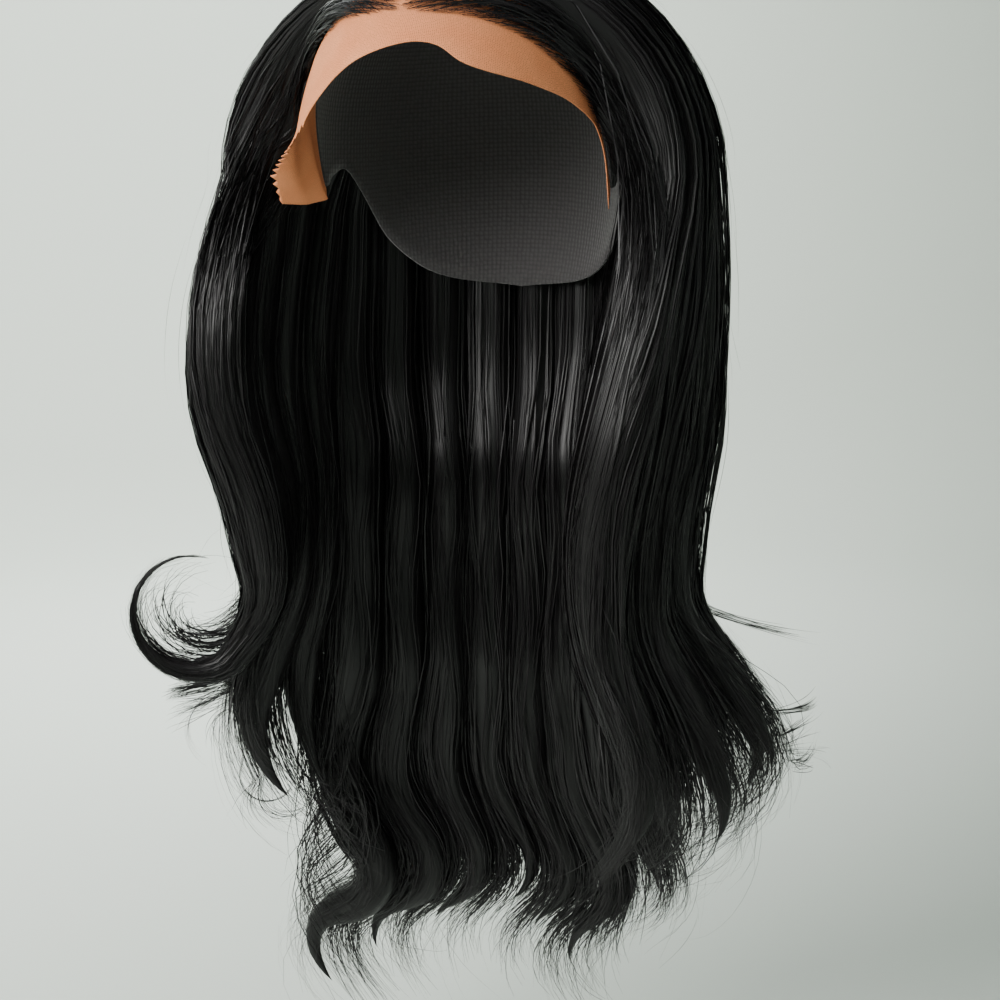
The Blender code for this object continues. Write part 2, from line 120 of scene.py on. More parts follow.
# How deep the grooves are at the parting and at the dome's end, and the height where they start to
# deepen and how much lower they are full
DOME_RELIEF = (0.15, 0.3)
RELIEF_TOP = -0.11
RELIEF_DROP = 0.2
# Half a mass's thickness at its roots, and how fast it thickens over the dome
ROOT_RISE = 0.0035
THICKENING = 0.8
# A free end's step, the lengths that it bends away and widens over, its least half size, and what
# it draws in by where locks part
TAIL_STEP = 0.0155
TAIL_EASE = 0.03
TAIL_SPREAD = 0.06
TIP_HALF_SIZE = 0.0012
SPLIT_GAP = 0.0012

# The height of an edge at an azimuth
Edge = namedtuple("Edge", "azimuth height")
# The cap's edge, the same on both sides: the lace's seam in front, then the ear and the nape
CAP_EDGE = (
    Edge(0, -0.012),
    Edge(30, -0.015),
    Edge(50, -0.025),
    Edge(65, -0.050),
    Edge(76, -0.084),
    Edge(84, -0.108),
    Edge(90, -0.103),
    Edge(102, -0.099),
    Edge(112, -0.112),
    Edge(124, -0.136),
    Edge(145, -0.155),
    Edge(180, -0.162),
)
# Where the hair starts, the same on both sides
HAIRLINE = (
    Edge(0, -0.030),
    Edge(25, -0.034),
    Edge(45, -0.046),
    Edge(60, -0.062),
    Edge(72, -0.082),
    Edge(84, -0.108),
    Edge(180, -0.162),
)
# The lace's free edge, from the right ear tab to the left
LACE_EDGE = (
    Edge(-84, -0.118),
    Edge(-60, -0.100),
    Edge(-40, -0.082),
    Edge(-26, -0.070),
    Edge(-9, -0.051),
    Edge(10, -0.044),
    Edge(21, -0.054),
    Edge(41, -0.062),
    Edge(60, -0.071),
    Edge(75, -0.086),
    Edge(84, -0.118),
)

# One level of a hanging mass: its height, then for its first and last side, in the order of their
# azimuths, the azimuth, the reach of its middle from the head's axis, and half its thickness
Level = namedtuple("Level", "height first last first_reach last_reach first_half last_half")

# The free end of one lock. toward is the azimuth of the plane that it bends in; lean, sway and
# curl are angles outward from straight down; curl is what the tip turns by after curl_from; full
# is how much wider it gets than the lock above.
Tail = namedtuple("Tail", "length toward lean sway wave phase curl_from curl slim full")

# A lock's cross-section: its middle, the way it runs, and its outward and sideways directions
Frame = namedtuple("Frame", "centre course outward across half_thick half_wide")

# A mass: the side that it falls to from the parting, 1 for the wearer's left and -1 for the right,
# or 0 at the back; where its first and last locks start, along the parting or as an azimuth round
# the whorl; its levels from ear height down; and its tails from its first side to its last
Mass = namedtuple("Mass", "side root_first root_last levels tails")

MASSES = {
    "hair_front_right": Mass(
        side=-1,
        root_first=0.0115,
        root_last=-0.077,
        levels=(
            Level(-0.110, -113, -75, 0.106, 0.117, 0.021, 0.013),
            Level(-0.160, -113, -70, 0.114, 0.129, 0.021, 0.017),
            Level(-0.205, -113, -68, 0.117, 0.130, 0.021, 0.018),
            Level(-0.255, -113, -66, 0.116, 0.119, 0.020, 0.018),
            Level(-0.305, -113, -64, 0.112, 0.103, 0.019, 0.018),
        ),
        tails=(
            Tail(0.190, -98, 10, 12, 0.12, 0, 0.50, -100, 0.35, 1.3),
            Tail(0.195, -86, 21, 6, 0.12, 0, 0.46, -125, 0.35, 1.4),
            Tail(0.105, -74, 32, 0, 0.12, 0, 0.15, 58, 0.8, 1.0),
            Tail(0.186, -68, 41, 0, 0.12, 0, 0.27, 262, 1.1, 1.0),
        ),
    ),
    "hair_front_left": Mass(
        side=1,
        root_first=-0.077,
        root_last=0.0115,
        levels=(
            Level(-0.110, 73, 113, 0.106, 0.106, 0.019, 0.021),
            Level(-0.160, 64, 113, 0.107, 0.111, 0.019, 0.021),
            Level(-0.205, 57, 113, 0.104, 0.110, 0.019, 0.020),
            Level(-0.255, 52, 113, 0.100, 0.109, 0.019, 0.019),
            Level(-0.305, 50, 113, 0.098, 0.100, 0.018, 0.018),
        ),
        tails=(
            Tail(0.165, 75, 18, 14, 0.15, 0, 0.55, -80, 0.4, 1.3),
            Tail(0.175, 85, 30, 10, 0.15, 0, 0.62, -140, 0.4, 1.4),
            Tail(0.155, 95, 43, 6, 0.15, 0, 0.62, -150, 0.4, 1.4),
            Tail(0.175, 108, 32, 12, 0.15, 0, 0.60, -150, 0.4, 1.4),
        ),
    ),
    "hair_back_right": Mass(
        side=0,
        root_first=-158,
        root_last=-113,
        levels=(
            Level(-0.110, -158, -113, 0.112, 0.107, 0.020, 0.020),
            Level(-0.160, -158, -113, 0.113, 0.113, 0.020, 0.020),
            Level(-0.220, -158, -113, 0.110, 0.114, 0.019, 0.019),
            Level(-0.290, -158, -113, 0.100, 0.108, 0.018, 0.018),
            Level(-0.360, -158, -113, 0.098, 0.108, 0.018, 0.018),
            Level(-0.430, -158, -111, 0.103, 0.124, 0.018, 0.018),
        ),
        tails=(
            Tail(0.185, -102, 5, 44, 0.14, 135, 0.85, -20, 0.3, 1.0),
            Tail(0.210, -98, 6, 50, 0.14, 128, 0.85, -20, 0.3, 1.0),
            Tail(0.235, -94, 8, 54, 0.14, 120, 0.85, -20, 0.3, 1.0),
        ),
    ),
    "hair_back_centre": Mass(
        side=0,
        root_first=158,
        root_last=202,
        levels=(
            Level(-0.110, 158, 202, 0.114, 0.114, 0.018, 0.018),
            Level(-0.160, 158, 202, 0.114, 0.114, 0.018, 0.018),
            Level(-0.220, 158, 202, 0.108, 0.108, 0.018, 0.018),
            Level(-0.290, 158, 202, 0.100, 0.100, 0.017, 0.017),
            Level(-0.360, 158, 202, 0.098, 0.098, 0.017, 0.017),
            Level(-0.430, 158, 202, 0.103, 0.103, 0.017, 0.017),
        ),
        tails=(
            Tail(0.200, 78, -1, 42, 0.14, -46, 0.8, 20, 0.3, 1.0),
            Tail(0.180, 78, -2, 43, 0.14, -46, 0.8, 20, 0.3, 1.0),
            Tail(0.160, 78, -2, 44, 0.14, -46, 0.8, 20, 0.3, 1.0),
        ),
    ),
    "hair_back_left": Mass(
        side=0,
        root_first=113,
        root_last=158,
        levels=(
            Level(-0.110, 113, 158, 0.107, 0.112, 0.020, 0.020),
            Level(-0.160, 113, 158, 0.112, 0.113, 0.020, 0.020),
            Level(-0.220, 113, 158, 0.112, 0.110, 0.019, 0.019),
            Level(-0.290, 113, 158, 0.104, 0.100, 0.018, 0.018),
            Level(-0.360, 113, 158, 0.104, 0.098, 0.018, 0.018),
            Level(-0.430, 113, 158, 0.104, 0.102, 0.018, 0.017),
        ),
        tails=(
            Tail(0.070, 84, 8, 34, 0.14, -46, 0.3, -60, 0.35, 1.0),
            Tail(0.095, 81, 4, 38, 0.14, -46, 0.5, -50, 0.35, 1.0),
            Tail(0.130, 78, 2, 42, 0.14, -46, 0.6, -20, 0.3, 1.0),
        ),
    ),
}


def curve_value(rows, key, field):
    """The value of a column where the first column is key, on a smooth curve through the rows."""
    keys = [row[0] for row in rows]
    values = [getattr(row, field) for row in rows]
    slopes = []
    for i in range(len(rows)):
        before, after = max(i - 1, 0), min(i + 1, len(rows) - 1)
        slopes.append((values[after] - values[before]) / (keys[after] - keys[before]))
    at = 0
    while at < len(rows) - 2 and (key - keys[at + 1]) * (keys[-1] - keys[0]) > 0:
        at += 1
    span = keys[at + 1] - keys[at]
    t = min(max((key - keys[at]) / span, 0.0), 1.0)
    return (
        values[at] * (1 + 2 * t) * (1 - t) ** 2
        + values[at + 1] * t * t * (3 - 2 * t)
        + slopes[at] * span * t * (1 - t) ** 2
        - slopes[at + 1] * span * t * t * (1 - t)
    )


def eased(share):
    """A share from 0 to 1 that starts and ends gently."""
    share = min(max(share, 0.0), 1.0)
    return share * share * (3 - 2 * share)


def around(azimuth):
    """The level direction from the head's axis at an azimuth."""
    turn = math.radians(azimuth)
    return Vector((math.sin(turn), -math.cos(turn), 0.0))


def head_reach(azimuth):
    """The distance of the head's widest line from its axis."""
    turn = math.radians(azimuth)
    depth = HEAD_FRONT if math.cos(turn) > 0 else HEAD_BACK
    return 1.0 / math.hypot(math.sin(turn) / HEAD_HALF_WIDTH, math.cos(turn) / depth)


def level_angle(height):
    """The angle above the head's widest level, seen from its middle, of a height on its surface."""
    if height < -HEAD_RISE:
        return (height + HEAD_RISE) / HEAD_RISE
    share = min((height + HEAD_RISE) / HEAD_RISE, 0.999999) ** DOME_POWER
    return math.atan((share / (1.0 - share)) ** (1.0 / DOME_POWER))


def head_point(azimuth, angle, off=0.0):
    """A point on the head's surface, or off it, at an azimuth and an angle above the widest level."""
    reach = head_reach(azimuth) + off
    if angle < 0.0:
        narrowing = 1.0 - NAPE_TAPER * angle * angle
        return around(azimuth) * reach * narrowing + Vector((0, 0, HEAD_RISE * (angle - 1.0)))
    level, rise = math.cos(angle), math.sin(angle)
    size = (level**DOME_POWER + rise**DOME_POWER) ** (-1.0 / DOME_POWER)
    height = (HEAD_RISE + off) * rise * size - HEAD_RISE
    return around(azimuth) * reach * level * size + Vector((0, 0, height))


def seated(point, off):
    """The point moved straight in or out from the middle of the head, to lie off its surface."""
    arm = point + Vector((0, 0, HEAD_RISE))
    azimuth = math.degrees(math.atan2(arm.x, -arm.y))
    level = math.hypot(arm.x, arm.y) / (head_reach(azimuth) + off)
    rise = max(arm.z, 0.0) / (HEAD_RISE + off)
    size = (level**DOME_POWER + rise**DOME_POWER) ** (1.0 / DOME_POWER)
    return arm / size - Vector((0, 0, HEAD_RISE))


def cap_edge_height(azimuth):
    """The height of the cap's lower edge, which is the lace's seam in front."""
    turn = abs((azimuth + 180.0) % 360.0 - 180.0)
    return curve_value(CAP_EDGE, turn, "height")


def lace_columns():
    """The azimuths of the lace's columns from the right ear tab to the left, and the tooth
    height of each, finer where the loose end is cut in teeth."""
    columns = []
    flap_span = LACE_END + FLAP_START
    for i in range(2 * FLAP_TEETH):
        azimuth = -LACE_END + flap_span * i / (2 * FLAP_TEETH)
        columns.append((azimuth, FLAP_TOOTH_DEPTH * (1 if i % 2 else -1)))
    count = round((LACE_END - FLAP_START) / LACE_STEP)
    for i in range(count + 1):
        columns.append((FLAP_START + (LACE_END - FLAP_START) * i / count, 0.0))
    return columns


def lace_column(azimuth, tooth):
    """The points of one column of the lace, from its seam to its free edge."""
    seam = level_angle(cap_edge_height(azimuth)) - LACE_SEAM_GAP
    edge = level_angle(curve_value(LACE_EDGE, azimuth, "height"))
    points = [head_point(azimuth, seam + (edge - seam) * share) for share in LACE_ROWS]
    loose = (FLAP_START - azimuth) / (LACE_END + FLAP_START)
    if loose > 0.0:
        lift = FLAP_LIFT * (loose**FLAP_GROWTH - max(loose - FLAP_ROUND, 0.0))
        toward = around(FLAP_AZIMUTH)
        hinge = points[FLAP_HINGE]
        for i, (out, back) in enumerate(FLAP_ROLL):
            flat = points[FLAP_HINGE + 1 + i]
            rolled = flat.lerp(hinge, back * lift / FLAP_LIFT) + toward * lift * out
            points[FLAP_HINGE + 1 + i] = rolled
        points[-1] += Vector((0, tooth, 0)) * (lift / FLAP_LIFT)
    return points


def between_sides(mass, height, first_field, last_field, share):
    """A value of a mass at a height, share of the way from its first side to its last."""
    first = curve_value(mass.levels, height, first_field)
    last = curve_value(mass.levels, height, last_field)
    return first + (last - first) * share


def level_point(mass, height, share):
    """A point in the middle of a mass at a height, share of the way from its first side to its last."""
    azimuth = between_sides(mass, height, "first", "last", share)
    reach = between_sides(mass, height, "first_reach", "last_reach", share)
    return around(azimuth) * reach + Vector((0, 0, height))


def frontness(mass, share):
    """How near a lock of a front mass is to the face, from 0 to 1, and 0 in a back mass."""
    return share * (mass.side < 0) + (1.0 - share) * (mass.side > 0)


def root_point(mass, share):
    """Where a lock starts: on the parting, or on the whorl for a back mass."""
    at = mass.root_first + (mass.root_last - mass.root_first) * share
    if mass.side:
        plan = Vector((mass.side * PARTING_HALF_GAP, at, 0))
    else:
        plan = around(at) * WHORL_RADIUS + Vector((0, WHORL_Y, 0))
    return seated(plan, CAP_WALL + PIECE_GAP + ROOT_RISE)


def shared_rows(mass):
    """The rows that a mass's locks share: its turns over the dome, then the heights of its levels
    with one between each two."""
    rows = [("dome", turn) for turn in DOME_TURNS]
    heights = [level.height for level in mass.levels]
    for upper, lower in zip(heights, heights[1:]):
        rows.append(("fall", upper))
        rows.append(("fall", (upper + lower) / 2))
    rows.append(("fall", heights[-1]))
    return rows


def centre_at(mass, row, share):
    """The middle of the mass on one of its rows."""
    kind, value = row
    if kind == "fall":
        return level_point(mass, value, share)
    root = root_point(mass, share)
    span = level_point(mass, mass.levels[0].height, share) - root
    turn = value * math.pi / 2
    out, down = math.sin(turn), 1.0 - math.cos(turn)
    back = out ** (1.0 - FRONT_SWEEP * frontness(mass, share))
    return root + Vector((span.x * out, span.y * back, span.z * down))


def half_thick_at(mass, row, share):
    """Half the thickness of a mass on one of its rows."""
    kind, value = row
    height = value if kind == "fall" else mass.levels[0].height
    full = between_sides(mass, height, "first_half", "last_half", share)
    if kind == "fall":
        return full
    return ROOT_RISE + (full - ROOT_RISE) * math.sin(value * math.pi / 2) ** THICKENING


def relief_at(row):
    """How far the grooves between locks are cut in, from 0 to 1."""
    kind, value = row
    first, last = DOME_RELIEF
    if kind == "dome":
        return first + (last - first) * value
    return last + (1.0 - last) * min(max((RELIEF_TOP - value) / RELIEF_DROP, 0.0), 1.0)


def facing(mass, row, share):
    """The level direction that a lock faces on a shared row: along its run from the parting, and
    straight out from the head's axis once it hangs."""
    kind, value = row
    if kind == "fall":
        return around(between_sides(mass, value, "first", "last", share))
    top = mass.levels[0].height
    span = level_point(mass, top, share) - root_point(mass, share)
    run = Vector((span.x, span.y, 0.0)).normalized()
    hung = around(between_sides(mass, top, "first", "last", share))
    return run.lerp(hung, value * value).normalized()


def lock_frame(mass, rows, j, share, step):
    """A lock's middle, course, outward and sideways directions and half sizes on a shared row."""
    row = rows[j]
    centre = centre_at(mass, row, share)
    above = centre_at(mass, rows[max(j - 1, 0)], share)
    below = centre_at(mass, rows[min(j + 1, len(rows) - 1)], share)
    course = (below - above).normalized()
    run = facing(mass, row, share)
    across = Vector((-run.y, run.x, 0.0))
    across = (across - course * across.dot(course)).normalized()
    outward = course.cross(across).normalized()
    pitch = centre_at(mass, row, share + step) - centre_at(mass, row, share - step)
    half_wide = abs(pitch.dot(across)) / 2
    return Frame(centre, course, outward, across, half_thick_at(mass, row, share), half_wide)


def side_corners(frame, relief, inset):
    """The outer and inner corner on the line between two locks, or at the edge of a mass."""
    foot = frame.centre + frame.across * inset
    rise = GROOVE_FLOOR + (GROOVE_TOP - GROOVE_FLOOR) * (1.0 - relief)
    outer = foot + frame.outward * frame.half_thick * rise
    inner = foot - frame.outward * frame.half_thick * INNER_SIDE
    return outer, inner


def free_ring(frame):
    """A lock's cross-section where it hangs by itself: an ellipse."""
    points = []
    for angle in FREE_RING:
        turn = math.radians(angle)
        points.append(
            frame.centre
            + frame.outward * frame.half_thick * math.cos(turn)
            + frame.across * frame.half_wide * math.sin(turn)
        )
    return points


def tail_frames(tail, start):
    """The frames of a lock's free end, one for each step along it."""
    plane = around(tail.toward)
    first_heading = math.atan2(start.course.dot(plane), -start.course.z)
    steps = round(tail.length / TAIL_STEP)
    step = tail.length / steps
    frames = []
    place = start.centre
    outward = start.outward
    for i in range(1, steps + 1):
        heading = tail_heading(tail, (i - 0.5) * step, first_heading)
        place = place + headed(plane, heading) * step
        course = headed(plane, tail_heading(tail, i * step, first_heading))
        outward = (outward - course * outward.dot(course)).normalized()
        narrow = (1.0 - i / steps) ** tail.slim
        half_thick = max((start.half_thick - SPLIT_GAP) * narrow, TIP_HALF_SIZE)
        spread = 1.0 + (tail.full - 1.0) * eased(i * step / TAIL_SPREAD)
        half_wide = max((start.half_wide - SPLIT_GAP) * narrow * spread, TIP_HALF_SIZE)
        across = outward.cross(course)
        frames.append(Frame(place, course, outward, across, half_thick, half_wide))
    return frames


def headed(plane, heading):
    """The direction at an angle outward from straight down."""
    return plane * math.sin(heading) + Vector((0, 0, -math.cos(heading)))


def tail_heading(tail, along, first_heading):
    """The angle outward from straight down at a distance along a lock's free end."""
    swing = math.radians(tail.sway) * math.sin(
        2 * math.pi * along / tail.wave + math.radians(tail.phase)
    )
    share = (along / tail.length - tail.curl_from) / (1.0 - tail.curl_from)
    share = min(max(share, 0.0), 1.0)
    heading = math.radians(tail.lean) + swing + math.radians(tail.curl) * share
    return first_heading + (heading - first_heading) * eased(along / TAIL_EASE)


def settle(point, mass, inner, row):
    """Seats an inner corner on the cap where the mass lies over it, keeps any other corner clear
    of the cap, and keeps a front mass on its own side of the parting."""
    on_cap = seated(point, CAP_WALL + PIECE_GAP + SEAT_SAG)
    azimuth = math.degrees(math.atan2(point.x, -point.y))
    hairline = curve_value(HAIRLINE, abs(azimuth), "height")
    middle = Vector((0, 0, -HEAD_RISE))
    inside = (point - middle).length < (on_cap - middle).length
    rests = inner and row[0] == "dome" and point.z > hairline
    if rests or (inside and point.z > -HEAD_RISE):
        point = on_cap
    if mass.side and point.x * mass.side < PARTING_HALF_GAP:
        point = Vector((mass.side * PARTING_HALF_GAP, point.y, point.z))
    return point


def shared_corners(mass, rows, j):
    """The corners of every lock on a shared row, with one pair where two neighbours meet."""
    count = len(mass.tails)
    relief = relief_at(rows[j])
    frames = [lock_frame(mass, rows, j, (k + 0.5) / count, 0.5 / count) for k in range(count)]

    def placed(point, inner):
        return settle(point, mass, inner, rows[j])

    sides = []
    for k in range(count + 1):
        edge = lock_frame(mass, rows, j, k / count, 0.5 / count)
        gap = min(MASS_EDGE_GAP, MASS_EDGE_SHARE * edge.half_wide)
        inset = gap * ((k == 0) - (k == count))
        outer, inner = side_corners(edge, relief, inset)
        sides.append((placed(outer, False), placed(inner, True)))
    rings = []
    for k, frame in enumerate(frames):
        crest = free_ring(frame)
        outside = [placed(crest[i], False) for i in (1, 2, 3)]
        inside = placed(crest[6], True)
        first, last = sides[k], sides[k + 1]
        rings.append([first[0], *outside, last[0], last[1], inside, first[1]])
    return rings, frames


# The strands: how many each lock has, how wide they are, and how finely they follow their lock
LOCK_STRANDS = {"front": 350, "back": 520}
STRAND_WIDTH = (0.0003, 0.00072)
ROOT_WIDTH = 0.5
TIP_WIDTH = 0.15
CLUMPS = 30
DOME_SAMPLES = 1.7
FALL_SAMPLES = 1.4
TAIL_SAMPLES = 1.2
TIP_SPREAD = 0.014
# The body of a lock under its strands: its size in the ring, its corners, and the rows it tapers over
UNDER_SCALE = 0.95
UNDER_AROUND = 28
UNDER_RIDGE = 0.08
UNDER_TAPER = 4.6
UNDER_END = 3.6
HAIRLINE_STRANDS = 480
FLYAWAYS = 100
FILL_STRANDS = {"front": 150, "back": 260}
FILL_SAMPLES = 20
FILL_WIDTH = (0.0004, 0.0009)
HAIR_OFF = 0.002
# The solids' reach to either side, and how far a strand may stand out beyond it
SIDE_LIMITS = (-0.1750, 0.1705)
SIDE_PROUD = 0.0085
HOLLOW_FLOOR = -0.165
# The wave of the hanging hair: its length, where along a strand it starts, how far it swings across
# and outward, and the length over which it fades where a free end starts
WAVE_LENGTH = 0.125
WAVE_START = 0.2
WAVE_SIZE = 0.0026
SWELL_SIZE = {"front": 0.0015, "back": 0.0042}
SWELL_STEPS = 8
SWELL_FADE = 0.05
# The corners of the ring on the face side of a front mass, for the wearer's right and left
FACE_SIDE = {-1: (3.2, 5.2), 1: (-0.9, 0.9)}
# A lock that turns back on itself draws together on the outside of its turn
TIGHT_CURL = 200
TIGHT_SIZE = 0.42
TIGHT_SPREAD = 0.2
TIGHT_END = 2.2

# Strands gather in clumps: how strongly, how far a clump's middle and depth move, where along their
# lock clumps end, how much sooner a strand may, how deep strands lie, and how the loose tips spread
CLUMP_GATHER = (0.1, 0.7)
CLUMP_SHIFT = 0.12
CLUMP_DEPTH = 0.04
CLUMP_END = (0.8, 0.97)
STRAND_SHORTER = 0.18
STRAND_DEPTH = (0.92, 1.03)
TIP_POWER = 2.2
TIP_CLUMP_SHARE = 0.6
TIP_OWN_SHARE = 0.8
# How far strands wander round their lock and stray from their clump, in corners, and ripple outward
WANDER = 0.22
STRAY = 0.25
RIPPLE_SIZE = 0.0012
# Strands between two locks: the rows before the parting where they start, the share of the free end
# that they reach, the corners on the facing sides, their depth, and the spread of their tips
FILL_START = (2.0, 6.5)
FILL_REACH = (0.82, 1.0)
FILL_CORNERS = ((2.5, 6.0), (-1.5, 1.5))
FILL_DEPTH = 0.95
FILL_SPREAD = 0.006
# Flyaways, first those high on the mass, then those near its tips: how far they stand off and drift
FLY_SAMPLES = 20
FLY_WIDTH = (0.00016, 0.00028)
FLY_RISE = (0.012, 0.010)
FLY_DRIFT = (0.006, 0.013)
FLY_CURL = 0.004
# Strands along the hairline: the azimuths that they start between and all leave it by, how far they
# lift, their width, the rows between which they join their lock, and the rows where they settle in it
HAIRLINE_FIRST = 1.0
HAIRLINE_LAST = 75.0
HAIRLINE_END = 77.0
HAIRLINE_LIFT = (0.0015, 0.008)
HAIRLINE_WIDTH = (0.0003, 0.0006)
HAIRLINE_JOIN = (10.2, 12.0)
HAIRLINE_HANG = (13.5, 14.2)
WISP_STEPS = 26
WISP_WIDTH = (0.0002, 0.0004)
# How far a flat strand turns about its own course, at random and along its length
RIBBON_TURN = 0.42
RIBBON_TWIST = 0.35

# The lace and cap sheets: wall, finer rows and columns, and where the cap's first row lies
NET_WALL = 0.0004
NET_ROWS = 31
NET_FINER = 4
CLOTH_COLUMNS = 120
CLOTH_ROWS = 24
CLOTH_TOP = 0.004
# The colours of the hair, the lace net and the cap's knit, each between two, and their fine relief
HAIR_COLOURS = ((0.0018, 0.0016, 0.0018, 1), (0.0125, 0.0105, 0.0118, 1))
LACE_COLOURS = ((0.74, 0.235, 0.085, 1), (0.88, 0.34, 0.15, 1))
CLOTH_COLOURS = ((0.05, 0.045, 0.047, 1), (0.012, 0.011, 0.0115, 1))
NET_HOLES_PER_METRE = 1250
NET_BUMP = 0.0002
KNIT_STITCHES_PER_METRE = 420
KNIT_BUMP = 0.0006

# The camera: its azimuth round the head's axis, its place, its tilt downward in degrees, and its
# focal length and the axis's distance from the middle, both in pixels of a square picture
CAMERA_AZIMUTH = 21.5
CAMERA_DISTANCE = 0.85
CAMERA_HEIGHT = -0.10
CAMERA_PITCH = 11.2
FOCAL_PIXELS = 1661.0
AXIS_OFFSET_PIXELS = 30.0
PICTURE_PIXELS = 1000.0
SENSOR_WIDTH = 36.0
# The room: the floor's height, the wall's distance, the sweep between them, and the wall's top
FLOOR = -0.68
WALL = 2.6
SWEEP = 0.9
SWEEP_STEPS = 12
WALL_TOP = 1.5
ROOM_SIDES = 96
WALL_COLOUR = (0.67, 0.725, 0.665, 1)
WORLD_COLOUR = (0.86, 0.9, 0.92, 1)
WORLD_STRENGTH = 0.12
# A soft light: its power, size and place, the point that it is turned to, and its colour
Light = namedtuple("Light", "name power size azimuth height distance target colour")
LIGHTS = (
    Light("key", 31.0, 0.8, -30, 0.30, 1.35, (0, 0, -0.25), (1.0, 0.99, 0.97)),
    Light("front", 4.0, 1.0, 8, 0.75, 1.15, (0, 0, -0.35), (1.0, 1.0, 1.0)),
    Light("wall", 62.0, 1.2, 205, 0.9, 1.0, tuple(around(236) * WALL), (1.0, 1.0, 0.98)),
    Light("back", 14.0, 1.2, 215, 0.5, 1.5, (0, 0, -0.3), (0.95, 0.98, 1.0)),
    Light("fill", 1.2, 1.2, 75, 0.4, 1.5, (0, 0, -0.3), (0.9, 0.95, 1.0)),
    Light("top", 0.9, 0.8, 150, 0.9, 0.15, (0, 0, -0.2), (1.0, 1.0, 1.0)),
)

RNG = np.random.default_rng(7)

# A lock as its strands need it: its rings, their middles, how many rings it shares with its
# neighbours, the outward wave of its hair on a fine row of places along it, and whether it turns back
# on itself
Lock = namedtuple("Lock", "rings middles shared swell tight")

# The mass whose first lock hangs beside the last lock of a mass
NEXT_MASS = {
    "hair_front_left": "hair_back_left",
    "hair_back_left": "hair_back_centre",
    "hair_back_centre": "hair_back_right",
    "hair_back_right": "hair_front_right",
}

# A thin bunch of strands that leaves a lock by itself: the row and corner of the lock's ring where
# it starts, its length, the azimuth of its plane, its lean outward from straight down, how much it
# turns after a share of its length, its half size, how far it frays and how many strands it has
Wisp = namedtuple("Wisp", "mass lock row corner length toward lean curl_from curl size fray strands")
WISPS = (
    Wisp("hair_front_right", 1, 22.2, 2.0, 0.058, -68, 72, 0.3, 16, 0.0034, 0.0024, 110),
    Wisp("hair_front_right", 1, 22.8, 2.0, 0.050, -68, 62, 0.3, 22, 0.0030, 0.0060, 60),
    Wisp("hair_front_right", 1, 21.0, 6.5, 0.110, -68, 74, 0.5, -150, 0.0008, 0.0014, 12),
    Wisp("hair_front_right", 1, 25.0, 2.0, 0.084, -68, 42, 0.1, -280, 0.0004, 0.0008, 6),
    Wisp("hair_front_right", 1, 26.0, 1.5, 0.060, -68, 34, 0.1, -230, 0.0012, 0.0040, 10),
    Wisp("hair_front_right", 1, 23.5, 2.0, 0.045, -68, 62, 0.2, -130, 0.0016, 0.0090, 12),
    Wisp("hair_front_right", 1, 26.0, 2.0, 0.040, -68, 40, 0.2, -120, 0.0016, 0.0090, 12),
    Wisp("hair_front_right", 3, 6.0, 2.0, 0.120, -68, 12, 0.2, -30, 0.0010, 0.0060, 9),
    Wisp("hair_front_left", 3, 18.0, 2.0, 0.080, 128, 68, 0.3, 10, 0.0012, 0.0026, 26),
    Wisp("hair_front_left", 2, 22.5, 2.0, 0.050, 145, 84, 0.3, 10, 0.0012, 0.0030, 18),
    Wisp("hair_front_left", 3, 23.5, 2.0, 0.036, 145, 98, 0.3, 20, 0.0010, 0.0030, 12),
    Wisp("hair_front_left", 3, 23.0, 2.0, 0.034, 120, 30, 0.2, -110, 0.0022, 0.0060, 22),
    Wisp("hair_front_left", 3, 24.0, 3.0, 0.046, 140, 92, 0.2, -24, 0.0016, 0.0070, 16),
    Wisp("hair_front_left", 2, 24.0, 2.5, 0.044, 135, 80, 0.2, 30, 0.0020, 0.0080, 20),
    Wisp("hair_front_left", 3, 6.0, 2.5, 0.130, 111, 20, 0.3, -28, 0.0012, 0.0060, 12),
)

def spline_weights(t):
    """The weights of four neighbouring points on a smooth curve through them."""
    t2, t3 = t * t, t * t * t
    return 0.5 * np.stack([-t + 2 * t2 - t3, 2 - 5 * t2 + 3 * t3, t + 4 * t2 - 3 * t3, t3 - t2], -1)


def row_pick(count, at):
    """The four rows round a place between rows, and their weights."""
    low = np.clip(np.floor(at).astype(int), 0, count - 2)
    picks = np.clip(low[..., None] + np.array([-1, 0, 1, 2]), 0, count - 1)
    return picks, spline_weights(np.clip(at, 0, count - 1) - low)


def on_rings(rings, row, corner):
    """Points on the surface through a lock's rings, at places between rows and between corners."""
    rows, row_weights = row_pick(len(rings), row)
    low = np.floor(corner).astype(int)
    corners = (low[..., None] + np.array([-1, 0, 1, 2])) % 8
    corner_weights = spline_weights(corner - low)
    near = rings[rows[..., :, None], corners[..., None, :]]
    return np.einsum("...i,...j,...ijk->...k", row_weights, corner_weights, near)


def on_line(points, row):
    """Points on the smooth line through a lock's middles."""
    rows, weights = row_pick(len(points), row)
    return np.einsum("...i,...ik->...k", weights, points[rows])


def swell_at(lock, row):
    """How far the wave moves a lock's hair at places between rows."""
    grid = np.arange(len(lock.swell)) / SWELL_STEPS
    return np.stack([np.interp(row, grid, lock.swell[:, i]) for i in range(3)], -1)


def skin_at(lock, row, corner):
    """Points on a lock's surface, with the wave of its hair."""
    return on_rings(lock.rings, row, corner) + swell_at(lock, row)


def middle_at(lock, row):
    """Points on a lock's middle line, with the wave of its hair."""
    return on_line(lock.middles, row) + swell_at(lock, row)


def unit(vectors):
    """Vectors of length one."""
    return vectors / np.maximum(np.linalg.norm(vectors, axis=-1, keepdims=True), 1e-9)


